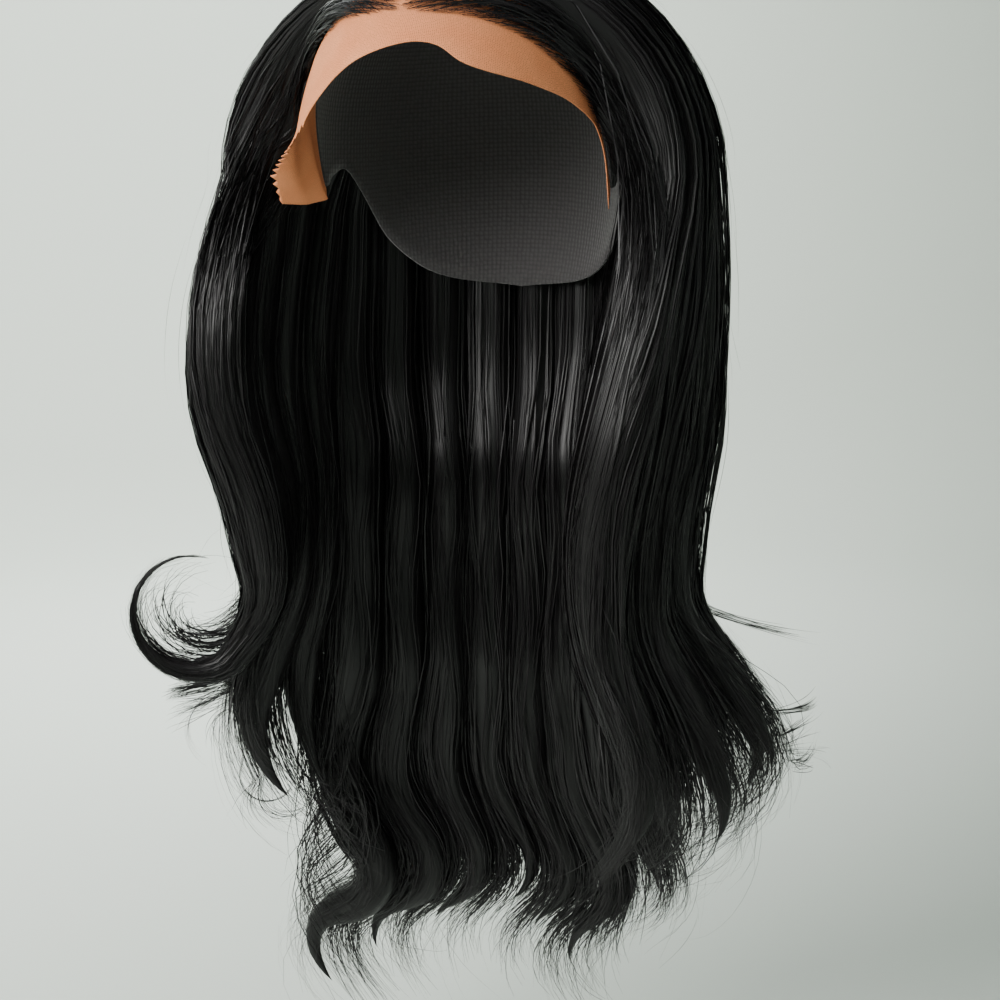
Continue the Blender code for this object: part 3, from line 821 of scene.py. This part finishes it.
def lengths(points):
    """The length along each line of points, from its first point."""
    steps = np.linalg.norm(np.diff(points, axis=-2), axis=-1)
    return np.concatenate([np.zeros(steps.shape[:-1] + (1,)), np.cumsum(steps, axis=-1)], axis=-1)


def off_head(points, off):
    """The points, with those that lie inside the head's surface moved straight out to it."""
    arm = points + np.array([0, 0, HEAD_RISE])
    level = np.hypot(arm[..., 0], arm[..., 1])
    depth = np.where(arm[..., 1] < 0, HEAD_FRONT, HEAD_BACK)
    flat = np.maximum(level, 1e-9)
    reach = 1.0 / np.hypot(arm[..., 0] / flat / HEAD_HALF_WIDTH, arm[..., 1] / flat / depth) + off
    rise = np.maximum(arm[..., 2], 0) / (HEAD_RISE + off)
    below = np.clip(-arm[..., 2] / HEAD_RISE, 0, 1)
    narrowing = 1.0 - NAPE_TAPER * below**2
    size = ((level / reach / narrowing) ** DOME_POWER + rise**DOME_POWER) ** (1 / DOME_POWER)
    inside = (size < 1) & (points[..., 2] > HOLLOW_FLOOR)
    grow = np.where(inside, 1 / np.maximum(size, 0.2), 1.0)
    arm[..., 0] *= grow
    arm[..., 1] *= grow
    arm[..., 2] *= np.where(arm[..., 2] > 0, grow, 1.0)
    return arm - np.array([0, 0, HEAD_RISE])


def smoothed(rings, shared):
    """The rings with the bend where the locks part eased over its neighbours."""
    eased_rings = rings.copy()
    for _ in range(3):
        for j in range(shared - 3, min(shared + 3, len(rings) - 2)):
            eased_rings[j] = (eased_rings[j - 1] + 2 * eased_rings[j] + eased_rings[j + 1]) / 4
    return eased_rings


def drawn_together(rings, shared):
    """The rings of a tight curl, smaller toward its tip and moved to the outside of its turn."""
    drawn = rings.copy()
    tail = len(rings) - shared
    for j in range(shared, len(rings)):
        share = min((j - shared + 1) / tail * 1.6, 1.0)
        size = 1.0 + (TIGHT_SIZE - 1.0) * share
        middle = rings[j].mean(axis=0)
        outside = middle + (rings[j, 6] - middle) * (1.0 - size)
        drawn[j] = outside + (rings[j] - middle) * size
    return drawn


def root_ring(mass, ring):
    """The ring drawn down to the parting or the whorl, where the strands leave the cap."""
    corners = []
    for corner in ring:
        if mass.side:
            plan = Vector((corner.x * 0.3, corner.y, 0.0))
        else:
            plan = Vector((corner.x * 0.4, WHORL_Y + (corner.y - WHORL_Y) * 0.4, 0.0))
        corners.append(seated(plan, CAP_WALL + PIECE_GAP))
    return corners


def lock_swell(rings, middles, shared, size):
    """The wave of a lock's hair, outward and inward by turns, until its free end."""
    rows = np.arange(SWELL_STEPS * (len(rings) - 1) + 1) / SWELL_STEPS
    line = on_line(middles, rows)
    out = unit(on_rings(rings, rows, np.full(len(rows), 2.0)) - line)
    along = lengths(line)
    parting = np.interp(shared - 1, rows, along)
    ramp = np.clip((along - WAVE_START) / WAVE_LENGTH, 0, 1)
    fade = np.clip((parting + SWELL_FADE / 2 - along) / SWELL_FADE, 0, 1)
    wave = np.sin(2 * np.pi * (along - parting) / WAVE_LENGTH)
    return out * (wave * ramp * fade * size)[:, None]


def mass_locks(mass):
    """The locks of a mass."""
    rows = shared_rows(mass)
    locks = [[] for tail in mass.tails]
    for j in range(len(rows)):
        corners, frames = shared_corners(mass, rows, j)
        for lock, ring in zip(locks, corners):
            if j == 0:
                lock.append(root_ring(mass, ring))
            lock.append(ring)
    for lock, tail, start in zip(locks, mass.tails, frames):
        for free_frame in tail_frames(tail, start):
            lock.append(free_ring(free_frame))
    shared = len(rows) + 1
    size = SWELL_SIZE["front" if mass.side else "back"]
    built = []
    for lock, tail in zip(locks, mass.tails):
        rings = smoothed(np.array([[tuple(point) for point in ring] for ring in lock]), shared)
        tight = tail.curl > TIGHT_CURL
        if tight:
            rings = drawn_together(rings, shared)
        middles = rings.mean(axis=1)
        built.append(Lock(rings, middles, shared, lock_swell(rings, middles, shared, size), tight))
    return built


def sample_rows(lock):
    """The places along a lock where a strand has its points."""
    dome = len(DOME_TURNS)
    total = len(lock.rings)
    over = round(dome * DOME_SAMPLES)
    fall = round((lock.shared - 1 - dome) * FALL_SAMPLES)
    tail = max(round((total - lock.shared) * TAIL_SAMPLES), 2)
    return np.concatenate([
        dome * np.arange(over) / over,
        dome + (lock.shared - 1 - dome) * np.arange(fall) / fall,
        lock.shared - 1 + (total - lock.shared) * np.arange(tail + 1) / tail,
    ])


def side_weights(mass, k):
    """How many strands lie between each two corners of a lock's ring."""
    weights = np.array([1.0, 1.0, 1.0, 1.0, 0.12, 0.3, 0.3, 0.12])
    if k == 0:
        weights[7] = 0.8
    if k == len(mass.tails) - 1:
        weights[4] = 0.8
    return weights / weights.sum()


def lock_strands(mass, k, lock, count):
    """The paths, outward directions, widths and tones of the strands of one lock."""
    total, shared = len(lock.rings), lock.shared
    span = RNG.choice(8, count, p=side_weights(mass, k))
    corner = span + RNG.random(count)
    edges = np.sort(RNG.uniform(0, 8, CLUMPS))
    clump = np.searchsorted(edges, corner) % CLUMPS
    clump_corner = edges[clump] + RNG.uniform(-CLUMP_SHIFT, 0.0, CLUMPS)[clump]
    clump_corner = np.where(np.abs(clump_corner - corner) > 1.0, corner, clump_corner)
    clump_depth = RNG.normal(0.0, CLUMP_DEPTH, CLUMPS)[clump]
    clump_end = RNG.uniform(*CLUMP_END, CLUMPS)[clump]
    clump_phase = RNG.uniform(0, 2 * np.pi, CLUMPS)[clump]
    clump_tone = RNG.random(CLUMPS)[clump]
    clump_gather = RNG.uniform(*CLUMP_GATHER, CLUMPS)[clump]
    clump_lean = RNG.normal(0, 1, (CLUMPS, 3))[clump]

    end = clump_end - RNG.random(count) ** 2 * STRAND_SHORTER
    base = sample_rows(lock)
    stretch = ((total - 1) * end - (shared - 1)) / (total - shared)
    beyond = np.maximum(base - (shared - 1), 0)
    rows = np.minimum(base, shared - 1)[None, :] + beyond[None, :] * stretch[:, None]
    share = rows / (total - 1)
    tail_share = np.clip((rows - (shared - 1)) / (total - shared), 0, 1)

    gather = clump_gather[:, None] * np.clip(0.15 + 1.4 * share, 0, 1)
    wander = WANDER * np.sin(share * 9.0 + clump_phase[:, None]) * share
    stray = RNG.normal(0, STRAY, (count, 1)) * np.sin(share * 7.0 + RNG.uniform(0, 6.3, (count, 1))) * share
    around_ring = corner[:, None] + (clump_corner - corner)[:, None] * gather + wander + stray
    depth = RNG.uniform(*STRAND_DEPTH, count)[:, None] + clump_depth[:, None] * np.clip(share * 2.5, 0.2, 1)
    axis = middle_at(lock, rows)
    out = skin_at(lock, rows, around_ring) - axis
    points = axis + out * depth[..., None]

    loose = TIP_CLUMP_SHARE * clump_lean + TIP_OWN_SHARE * RNG.normal(0, 1, (count, 3))
    spread = TIP_SPREAD * (TIGHT_SPREAD if lock.tight else 1.0)
    points += loose[:, None, :] * (spread * tail_share**TIP_POWER)[..., None]
    along = lengths(points)
    phase = 0.8 * clump_phase[:, None] + RNG.normal(0, 0.35, (count, 1))
    wave = np.sin(2 * np.pi * along / WAVE_LENGTH + phase)
    ramp = np.clip((along - WAVE_START) / WAVE_LENGTH, 0, 1) * WAVE_SIZE
    across = unit(np.cross(unit(np.gradient(points, axis=1)), unit(out)))
    points += across * (wave * ramp)[..., None]
    ripple = RIPPLE_SIZE * np.sin(share * 22.0 + clump_phase[:, None] * 2 + RNG.random((count, 1)))
    points += unit(out) * (ripple * np.clip(share * 4, 0, 1))[..., None]
    width = RNG.uniform(*STRAND_WIDTH, count)
    tone = np.clip(0.5 * clump_tone + 0.5 * RNG.random(count), 0, 1)
    return off_head(points, HAIR_OFF), out, width, tone


def fill_strands(first, second, count):
    """Strands that hang between two neighbouring locks, from where they part."""
    paths = []
    weight = RNG.uniform(0.1, 0.9, count)[:, None, None]
    before = RNG.uniform(*FILL_START, count)
    reach = RNG.uniform(*FILL_REACH, count)
    steps = np.linspace(0, 1, FILL_SAMPLES)
    for lock, corners in zip((first, second), FILL_CORNERS):
        start = lock.shared - before
        end = (len(lock.rings) - 1) * reach
        rows = start[:, None] + (end - start)[:, None] * steps[None, :]
        corner = RNG.uniform(*corners, count)[:, None] + 0.0 * rows
        middle = middle_at(lock, rows)
        skin = skin_at(lock, rows, corner)
        paths.append((middle + (skin - middle) * FILL_DEPTH, skin - middle))
    points = paths[0][0] * (1 - weight) + paths[1][0] * weight
    out = paths[0][1] * (1 - weight) + paths[1][1] * weight
    points += RNG.normal(0, FILL_SPREAD, (count, 1, 3)) * steps[None, :, None] ** 2
    return points, out, RNG.uniform(*FILL_WIDTH, count), RNG.random(count)


def flyaway_strands(locks, count):
    """Thin strands that stand off the mass in long arcs, more of them toward its tips."""
    points, outs = [], []
    for i in range(count):
        lock = locks[RNG.integers(len(locks))]
        total = len(lock.rings)
        low = i % 5 > 1
        first = RNG.uniform(lock.shared - 4, total * 0.86) if low else RNG.uniform(3.0, total * 0.6)
        last = min(first + RNG.uniform(3, 9), total - 1)
        steps = np.linspace(0, 1, FLY_SAMPLES)
        rows = first + (last - first) * steps
        corner = np.full(FLY_SAMPLES, RNG.choice((0.0, 1.0, 2.0, 3.0, 4.0)) + RNG.uniform(-0.5, 0.5))
        middle = middle_at(lock, rows)
        out = skin_at(lock, rows, corner) - middle
        arc = np.sin(steps * RNG.uniform(0.5, 0.95) * np.pi)
        push = unit(out) * (arc * RNG.uniform(0.2, 1.0) * FLY_RISE[low])[:, None]
        drift = RNG.normal(0, FLY_DRIFT[low], 3)[None, :] * steps[:, None] ** 2
        curl = RNG.normal(0, FLY_CURL, 3)[None, :] * np.sin(steps * RNG.uniform(3, 9))[:, None] * low
        points.append(middle + out + push + drift + curl)
        outs.append(out)
    points = off_head(np.array(points), HAIR_OFF)
    return points, np.array(outs), RNG.uniform(*FLY_WIDTH, count), RNG.random(count)


def hairline_strands(mass, lock, count):
    """Strands tied to the lace along the hairline, that run down beside it over the temple and then
    hang in the front lock."""
    total = len(lock.rings)
    points, outs = [], []
    for i in range(count):
        at_parting = i % 4 == 0
        if at_parting:
            first = RNG.uniform(0.3, 3.0)
        else:
            first = HAIRLINE_FIRST + (HAIRLINE_LAST - HAIRLINE_FIRST) * RNG.random()
        leave = first + (HAIRLINE_END - first) * RNG.uniform(0.55, 1.0)
        rise = 0.03 * RNG.random() if at_parting else 0.012 * RNG.random() ** 1.6 - 0.0005
        behind = rise + (0.004 + 0.03 * RNG.random()) * min((leave - first) / 40.0, 1.0)
        lift = RNG.uniform(*HAIRLINE_LIFT)
        lead = []
        for step in range(9):
            share = step / 8
            azimuth = first + (leave - first) * share
            height = curve_value(HAIRLINE, azimuth, "height") + rise + (behind - rise) * share
            off = LACE_WALL + 0.0004 + lift * math.sin(share * math.pi / 2)
            lead.append(tuple(head_point(mass.side * azimuth, level_angle(height), off)))
        lead = np.array(lead)
        joined = RNG.uniform(*HAIRLINE_JOIN)
        end = (total - 1) * RNG.uniform(0.72, 0.98)
        settled, hanging = HAIRLINE_HANG
        joining = np.linspace(joined, settled, 4)
        rows = np.concatenate([joining, np.linspace(hanging, end, 18)])
        corner = np.full(len(rows), RNG.uniform(*FACE_SIDE[mass.side]))
        middle = middle_at(lock, rows)
        out = skin_at(lock, rows, corner) - middle
        body = middle + out * RNG.uniform(0.97, 1.05)
        gap = np.linalg.norm(body[0] - lead[-1])
        leaving = unit(lead[-1] - lead[-2]) * gap
        arriving = unit(body[1] - body[0]) * gap
        t = np.linspace(0, 1, 6)[1:-1, None]
        bridge = (
            lead[-1] * (1 + 2 * t) * (1 - t) ** 2
            + body[0] * t * t * (3 - 2 * t)
            + leaving * t * (1 - t) ** 2
            - arriving * t * t * (1 - t)
        )
        line = np.concatenate([lead, bridge, body])
        normals = unit(line[: len(lead) + len(bridge)] - np.array([0, 0, -HEAD_RISE])) * 0.01
        points.append(line)
        outs.append(np.concatenate([normals, out]))
    points = off_head(np.array(points), LACE_WALL + 0.0003)
    return points, np.array(outs), RNG.uniform(*HAIRLINE_WIDTH, count), RNG.random(count)


def wisp_strands(locks, wisp):
    """A thin bunch of strands that leaves a lock by itself."""
    lock = locks[wisp.lock]
    rows = np.array([wisp.row - 3.0, wisp.row - 2.0, wisp.row - 1.0, wisp.row])
    corner = np.full(4, wisp.corner)
    lead = skin_at(lock, rows, corner)
    plane = np.array(tuple(around(wisp.toward)))
    course = unit(lead[-1] - lead[-2])
    first = math.atan2(course @ plane, -course[2])
    place, path = lead[-1], list(lead)
    for i in range(WISP_STEPS):
        share = (i + 0.5) / WISP_STEPS
        turned = max(share - wisp.curl_from, 0.0) / (1.0 - wisp.curl_from)
        heading = math.radians(wisp.lean + wisp.curl * turned)
        heading = first + (heading - first) * eased(share * 4)
        place = place + np.array(tuple(headed(plane, heading))) * wisp.length / WISP_STEPS
        path.append(place)
    path = np.array([tuple(point) for point in path])
    share = np.linspace(0, 1, len(path))[None, :, None]
    spread = RNG.normal(0, 1, (wisp.strands, 1, 3)) * (wisp.size * (0.3 + (1 - share) * 0.7))
    fray = RNG.normal(0, 1, (wisp.strands, 1, 3)) * share**2 * wisp.fray
    points = path[None] + spread + fray
    ends = RNG.uniform(0.75, 1.0, wisp.strands)
    rows = np.arange(len(path))[None, :] * ends[:, None]
    points = np.stack([on_line(points[i], rows[i]) for i in range(wisp.strands)])
    out = np.tile(unit(lead[-1] - middle_at(lock, rows[:1, -1] * 0 + wisp.row)[0]), (*points.shape[:2], 1))
    return points, out, RNG.uniform(*WISP_WIDTH, wisp.strands), RNG.random(wisp.strands)


def held_near(points):
    """The points, with those far outside the solids' reach to either side drawn in toward it."""
    low, high = SIDE_LIMITS
    over = np.maximum(points[..., 0] - high, 0) - np.maximum(low - points[..., 0], 0)
    eased_over = np.sign(over) * SIDE_PROUD * (1 - np.exp(-np.abs(over) / SIDE_PROUD))
    points[..., 0] += eased_over - over
    return points


def ribbons(points, out, width, tone, taper=TIP_WIDTH):
    """Flat strands along the points: their corners, faces, tones, and directions across."""
    count, samples, _ = points.shape
    points = held_near(points)
    course = unit(np.gradient(points, axis=1))
    across = unit(np.cross(course, unit(out)))
    facing_out = np.cross(across, course)
    turn = RNG.normal(0, RIBBON_TURN, (count, 1, 1)) + RIBBON_TWIST * np.sin(
        np.linspace(0, 9, samples)[None, :, None] + RNG.uniform(0, 6.3, (count, 1, 1))
    )
    across = across * np.cos(turn) + facing_out * np.sin(turn)
    place = np.linspace(0, 1, samples)
    profile = np.interp(place, [0, 0.1, 0.75, 1], [ROOT_WIDTH, 1, 0.9, taper])
    half = across * (width[:, None] * profile[None, :] / 2)[..., None]
    corners = np.stack([points - half, points + half], axis=2).reshape(-1, 3)
    start = (np.arange(count)[:, None] * samples + np.arange(samples - 1)[None, :]) * 2
    faces = np.stack([start, start + 1, start + 3, start + 2], axis=-1).reshape(-1, 4)
    return corners, faces, np.repeat(tone, samples * 2), np.repeat(across.reshape(-1, 3), 2, axis=0)


def under_hair(lock):
    """The body of a lock under its strands, a closed form with shallow ridges and a drawn-in tip."""
    total = len(lock.rings)
    last = total - (TIGHT_END if lock.tight else UNDER_END)
    rows = np.linspace(0.9, last, 2 * total)
    corners = np.arange(UNDER_AROUND) * 8.0 / UNDER_AROUND
    row_grid, corner_grid = np.meshgrid(rows, corners, indexing="ij")
    skin = skin_at(lock, row_grid, corner_grid)
    middle = middle_at(lock, rows)[:, None, :]
    size = np.clip((last - rows) / UNDER_TAPER, 0.0, 1.0) ** 0.8
    size[0] = 0.0
    ridge = 1.0 - UNDER_RIDGE * RNG.random(UNDER_AROUND)
    points = middle + (skin - middle) * (UNDER_SCALE * size[:, None] * ridge[None, :])[..., None]
    start = np.arange(len(rows) - 1)[:, None] * UNDER_AROUND
    ring = np.arange(UNDER_AROUND)[None, :]
    after = (ring + 1) % UNDER_AROUND
    low = start + UNDER_AROUND
    faces = np.stack([start + ring, low + ring, low + after, start + after], -1).reshape(-1, 4)
    across = unit(np.roll(skin, -1, axis=1) - np.roll(skin, 1, axis=1)).reshape(-1, 3)
    tones = np.tile(RNG.random(UNDER_AROUND) * 0.3, len(rows))
    return points.reshape(-1, 3), faces, tones, across


def joined_mesh(name, parts):
    """One mesh object from many corners and faces, with each corner's tone and direction across."""
    offset = 0
    all_faces = []
    for part in parts:
        all_faces.append(part[1] + offset)
        offset += len(part[0])
    corners = np.concatenate([part[0] for part in parts])
    faces = np.concatenate(all_faces)
    mesh = bpy.data.meshes.new(name)
    mesh.vertices.add(len(corners))
    mesh.vertices.foreach_set("co", corners.astype(np.float32).ravel())
    mesh.loops.add(faces.size)
    mesh.loops.foreach_set("vertex_index", faces.ravel().astype(np.int32))
    mesh.polygons.add(len(faces))
    mesh.polygons.foreach_set("loop_start", (np.arange(len(faces)) * 4).astype(np.int32))
    mesh.polygons.foreach_set("use_smooth", np.ones(len(faces), dtype=bool))
    mesh.update(calc_edges=True)
    tones = np.concatenate([part[2] for part in parts]).astype(np.float32)
    directions = np.concatenate([part[3] for part in parts]).astype(np.float32)
    tone = mesh.attributes.new(name="tone", type="FLOAT", domain="POINT")
    tone.data.foreach_set("value", tones)
    across = mesh.attributes.new(name="across", type="FLOAT_VECTOR", domain="POINT")
    across.data.foreach_set("vector", directions.ravel())
    built = bpy.data.objects.new(name, mesh)
    bpy.context.scene.collection.objects.link(built)
    return built


def build_hair(name, all_locks, material):
    """One mass of hair as strands over a dark body."""
    mass, locks = MASSES[name], all_locks[name]
    kind = "front" if mass.side else "back"
    parts = []
    for k, lock in enumerate(locks):
        parts.append(under_hair(lock))
        parts.append(ribbons(*lock_strands(mass, k, lock, LOCK_STRANDS[kind])))
    pairs = list(zip(locks, locks[1:]))
    if name in NEXT_MASS:
        pairs.append((locks[-1], all_locks[NEXT_MASS[name]][0]))
    for first, second in pairs:
        parts.append(ribbons(*fill_strands(first, second, FILL_STRANDS[kind])))
    parts.append(ribbons(*flyaway_strands(locks, FLYAWAYS)))
    for wisp in WISPS:
        if wisp.mass == name:
            parts.append(ribbons(*wisp_strands(locks, wisp)))
    if mass.side:
        front = locks[-1] if mass.side < 0 else locks[0]
        parts.append(ribbons(*hairline_strands(mass, front, HAIRLINE_STRANDS)))
    hair = joined_mesh(name.replace("hair_", "strands_"), parts)
    hair.data.materials.append(material)
    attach(hair, "root")
    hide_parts(name)
    return hair


def node_material(name):
    """A new material, its node tree and its shader."""
    material = bpy.data.materials.new(name)
    material.use_nodes = True
    tree = material.node_tree
    return material, tree, tree.nodes["Principled BSDF"]


def colours_between(tree, source, shader, low, high):
    """Colours the shader by a value, from one colour to another."""
    ramp = tree.nodes.new("ShaderNodeValToRGB")
    ramp.color_ramp.elements[0].color = low
    ramp.color_ramp.elements[1].color = high
    tree.links.new(source, ramp.inputs["Fac"])
    tree.links.new(ramp.outputs["Color"], shader.inputs["Base Color"])


def bump_on(tree, source, shader, depth):
    """A bump of the shader's surface by a value."""
    bump = tree.nodes.new("ShaderNodeBump")
    bump.inputs["Distance"].default_value = depth
    tree.links.new(source, bump.inputs["Height"])
    tree.links.new(bump.outputs["Normal"], shader.inputs["Normal"])
    return bump


def cells_on(tree, scale, randomness):
    """Small cells over a sheet, laid out in its size in metres."""
    size = tree.nodes.new("ShaderNodeUVMap")
    size.uv_map = "size"
    cells = tree.nodes.new("ShaderNodeTexVoronoi")
    cells.inputs["Scale"].default_value = scale
    cells.inputs["Randomness"].default_value = randomness
    tree.links.new(size.outputs["UV"], cells.inputs["Vector"])
    return size, cells


def hair_material():
    """Glossy near-black hair, each strand of its own tone."""
    material, tree, shader = node_material("hair_strands")
    shader.inputs["Roughness"].default_value = 0.36
    shader.inputs["Specular IOR Level"].default_value = 0.31
    shader.inputs["Anisotropic"].default_value = 0.75
    tone = tree.nodes.new("ShaderNodeAttribute")
    tone.attribute_name = "tone"
    across = tree.nodes.new("ShaderNodeAttribute")
    across.attribute_name = "across"
    tree.links.new(across.outputs["Vector"], shader.inputs["Tangent"])
    colours_between(tree, tone.outputs["Fac"], shader, *HAIR_COLOURS)
    return material


def grid_sheet(name, columns, thickness):
    """A sheet from columns of points, with its size in metres as its UV map, and a thin wall."""
    wide, deep = len(columns), len(columns[0])
    points = np.array([[tuple(point) for point in column] for column in columns])
    mesh = bpy.data.meshes.new(name)
    faces = []
    for i in range(wide - 1):
        for j in range(deep - 1):
            at = i * deep + j
            faces.append((at, at + 1, at + deep + 1, at + deep))
    mesh.from_pydata(points.reshape(-1, 3).tolist(), [], faces)
    middle = deep // 2
    along = np.concatenate([[0], np.cumsum(np.linalg.norm(np.diff(points[:, middle], axis=0), axis=1))])
    down = np.zeros((wide, deep))
    down[:, 1:] = np.cumsum(np.linalg.norm(np.diff(points, axis=1), axis=2), axis=1)
    uv = mesh.uv_layers.new(name="size")
    for polygon in mesh.polygons:
        for loop, vertex in zip(polygon.loop_indices, polygon.vertices):
            uv.data[loop].uv = (along[vertex // deep], down[vertex // deep, vertex % deep])
        polygon.use_smooth = True
    sheet = bpy.data.objects.new(name, mesh)
    bpy.context.scene.collection.objects.link(sheet)
    wall = sheet.modifiers.new("wall", "SOLIDIFY")
    wall.thickness = thickness
    wall.offset = 1.0
    area = sum(polygon.area for polygon in mesh.polygons)
    return sheet, along[-1], down.max(), area


def net_material():
    """Fine tan net: threads round small holes that light passes through."""
    material, tree, shader = node_material("lace_net")
    shader.inputs["Roughness"].default_value = 0.75
    size, holes = cells_on(tree, NET_HOLES_PER_METRE, 0.35)
    holes.feature = "DISTANCE_TO_EDGE"
    thread = tree.nodes.new("ShaderNodeMapRange")
    thread.inputs["From Min"].default_value = 0.16
    thread.inputs["From Max"].default_value = 0.3
    thread.inputs["To Min"].default_value = 1.0
    thread.inputs["To Max"].default_value = 0.55
    tree.links.new(holes.outputs["Distance"], thread.inputs["Value"])
    tree.links.new(thread.outputs["Result"], shader.inputs["Alpha"])
    patch = tree.nodes.new("ShaderNodeTexNoise")
    patch.inputs["Scale"].default_value = 60
    tree.links.new(size.outputs["UV"], patch.inputs["Vector"])
    colours_between(tree, patch.outputs["Fac"], shader, *LACE_COLOURS)
    bump = bump_on(tree, holes.outputs["Distance"], shader, NET_BUMP)
    bump.inputs["Strength"].default_value = 0.6
    bump.invert = True
    return material


def cloth_material():
    """Matt black stretch cloth with a fine knit."""
    material, tree, shader = node_material("cap_knit")
    shader.inputs["Roughness"].default_value = 0.85
    shader.inputs["Sheen Weight"].default_value = 0.3
    _, knit = cells_on(tree, KNIT_STITCHES_PER_METRE, 0.2)
    colours_between(tree, knit.outputs["Distance"], shader, *CLOTH_COLOURS)
    bump_on(tree, knit.outputs["Distance"], shader, KNIT_BUMP)
    return material


def smooth_lace_columns():
    """The lace's columns and rows, finer than its solid, with the teeth cut in its loose end."""
    columns, teeth = [], []
    rows = np.linspace(0, len(LACE_ROWS) - 1, NET_ROWS)
    for azimuth, tooth in lace_columns():
        points = np.array([tuple(point) for point in lace_column(azimuth, 0.0)])
        picks, weights = row_pick(len(points), rows)
        columns.append(np.einsum("ij,ijk->ik", weights, points[picks]))
        teeth.append(tooth)
    columns = np.array(columns)
    fine = np.linspace(0, len(columns) - 1, NET_FINER * (len(columns) - 1) + 1)
    picks, weights = row_pick(len(columns), fine)
    columns = np.einsum("ij,ij...->i...", weights, columns[picks])
    tooth = np.interp(fine, np.arange(len(teeth)), teeth) * np.interp(fine, [1, 6], [0.2, 1])
    edge = unit(columns[:, -1] - columns[:, -2])
    columns[:, -1] += edge * tooth[:, None]
    return columns


def build_lace_net(material):
    """The lace panel as a fine net."""
    columns = smooth_lace_columns()
    lace, width, length, area = grid_sheet("lace_net", columns, NET_WALL)
    lace.data.materials.append(material)
    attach(lace, "root")
    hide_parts("lace_front")


def build_cap_cloth(material):
    """The cap as a sheet of knit cloth, from its crown to its edge."""
    columns = []
    for i in range(CLOTH_COLUMNS + 1):
        azimuth = 360.0 * i / CLOTH_COLUMNS
        edge = level_angle(cap_edge_height(azimuth))
        column = []
        for j in range(CLOTH_ROWS + 1):
            share = CLOTH_TOP + (1.0 - CLOTH_TOP) * j / CLOTH_ROWS
            column.append(head_point(azimuth, math.pi / 2 - share * (math.pi / 2 - edge)))
        columns.append(column)
    cap, width, length, area = grid_sheet("cap_cloth", columns, CAP_WALL)
    cap.data.materials.append(material)
    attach(cap, "root")
    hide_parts("wig_cap")


def build_room():
    """A round pale floor that sweeps up into a wall all round, far enough off to be seen past."""
    profile = [(0.001, FLOOR)]
    for i in range(SWEEP_STEPS + 1):
        bend = math.pi / 2 * i / SWEEP_STEPS
        profile.append((WALL - SWEEP + SWEEP * math.sin(bend), FLOOR + SWEEP - SWEEP * math.cos(bend)))
    profile.append((WALL, WALL_TOP))
    corners, faces = [], []
    for reach, height in profile:
        for i in range(ROOM_SIDES):
            corners.append(around(360.0 * i / ROOM_SIDES) * reach + Vector((0, 0, height)))
    for row in range(len(profile) - 1):
        for i in range(ROOM_SIDES):
            after = (i + 1) % ROOM_SIDES
            low, high = row * ROOM_SIDES, (row + 1) * ROOM_SIDES
            faces.append((low + i, low + after, high + after, high + i))
    mesh = bpy.data.meshes.new("floor")
    mesh.from_pydata([tuple(corner) for corner in corners], [], faces)
    for polygon in mesh.polygons:
        polygon.use_smooth = True
    floor = bpy.data.objects.new("floor", mesh)
    bpy.context.scene.collection.objects.link(floor)
    material, _, shader = node_material("pale_floor")
    shader.inputs["Base Color"].default_value = WALL_COLOUR
    shader.inputs["Roughness"].default_value = 0.9
    mesh.materials.append(material)


def area_light(light):
    """A square soft light at an azimuth round the wig, turned to a point on it or on the wall."""
    data = bpy.data.lights.new(light.name, "AREA")
    data.energy = light.power
    data.size = light.size
    data.color = light.colour
    lamp = bpy.data.objects.new(light.name, data)
    lamp.location = around(light.azimuth) * light.distance + Vector((0, 0, light.height))
    course = Vector(light.target) - lamp.location
    lamp.rotation_euler = course.to_track_quat("-Z", "Y").to_euler()
    lamp.visible_camera = False
    bpy.context.scene.collection.objects.link(lamp)


def build_world():
    """Weak even light from all round."""
    world = bpy.data.worlds.new("room")
    world.use_nodes = True
    background = world.node_tree.nodes["Background"]
    background.inputs["Color"].default_value = WORLD_COLOUR
    background.inputs["Strength"].default_value = WORLD_STRENGTH
    bpy.context.scene.world = world


def build_camera():
    """The camera where the photograph was taken from."""
    turn = math.radians(CAMERA_AZIMUTH)
    camera = bpy.data.objects.new("camera", bpy.data.cameras.new("camera"))
    camera.data.sensor_width = SENSOR_WIDTH
    camera.data.lens = SENSOR_WIDTH * FOCAL_PIXELS / PICTURE_PIXELS
    camera.location = around(CAMERA_AZIMUTH) * CAMERA_DISTANCE + Vector((0, 0, CAMERA_HEIGHT))
    forward = Vector((-math.sin(turn), math.cos(turn), 0.0))
    side = Vector((math.cos(turn), math.sin(turn), 0.0))
    yaw = math.atan(AXIS_OFFSET_PIXELS / FOCAL_PIXELS)
    pitch = math.radians(CAMERA_PITCH)
    look = (forward * math.cos(yaw) + side * math.sin(yaw)) * math.cos(pitch)
    look += Vector((0, 0, -math.sin(pitch)))
    camera.rotation_euler = look.to_track_quat("-Z", "Y").to_euler()
    bpy.context.scene.collection.objects.link(camera)
    bpy.context.scene.camera = camera


def main():
    strands = hair_material()
    locks = {name: mass_locks(mass) for name, mass in MASSES.items()}
    for name in MASSES:
        build_hair(name, locks, strands)
    build_cap_cloth(cloth_material())
    build_lace_net(net_material())
    build_room()
    for light in LIGHTS:
        area_light(light)
    build_world()
    build_camera()


main()
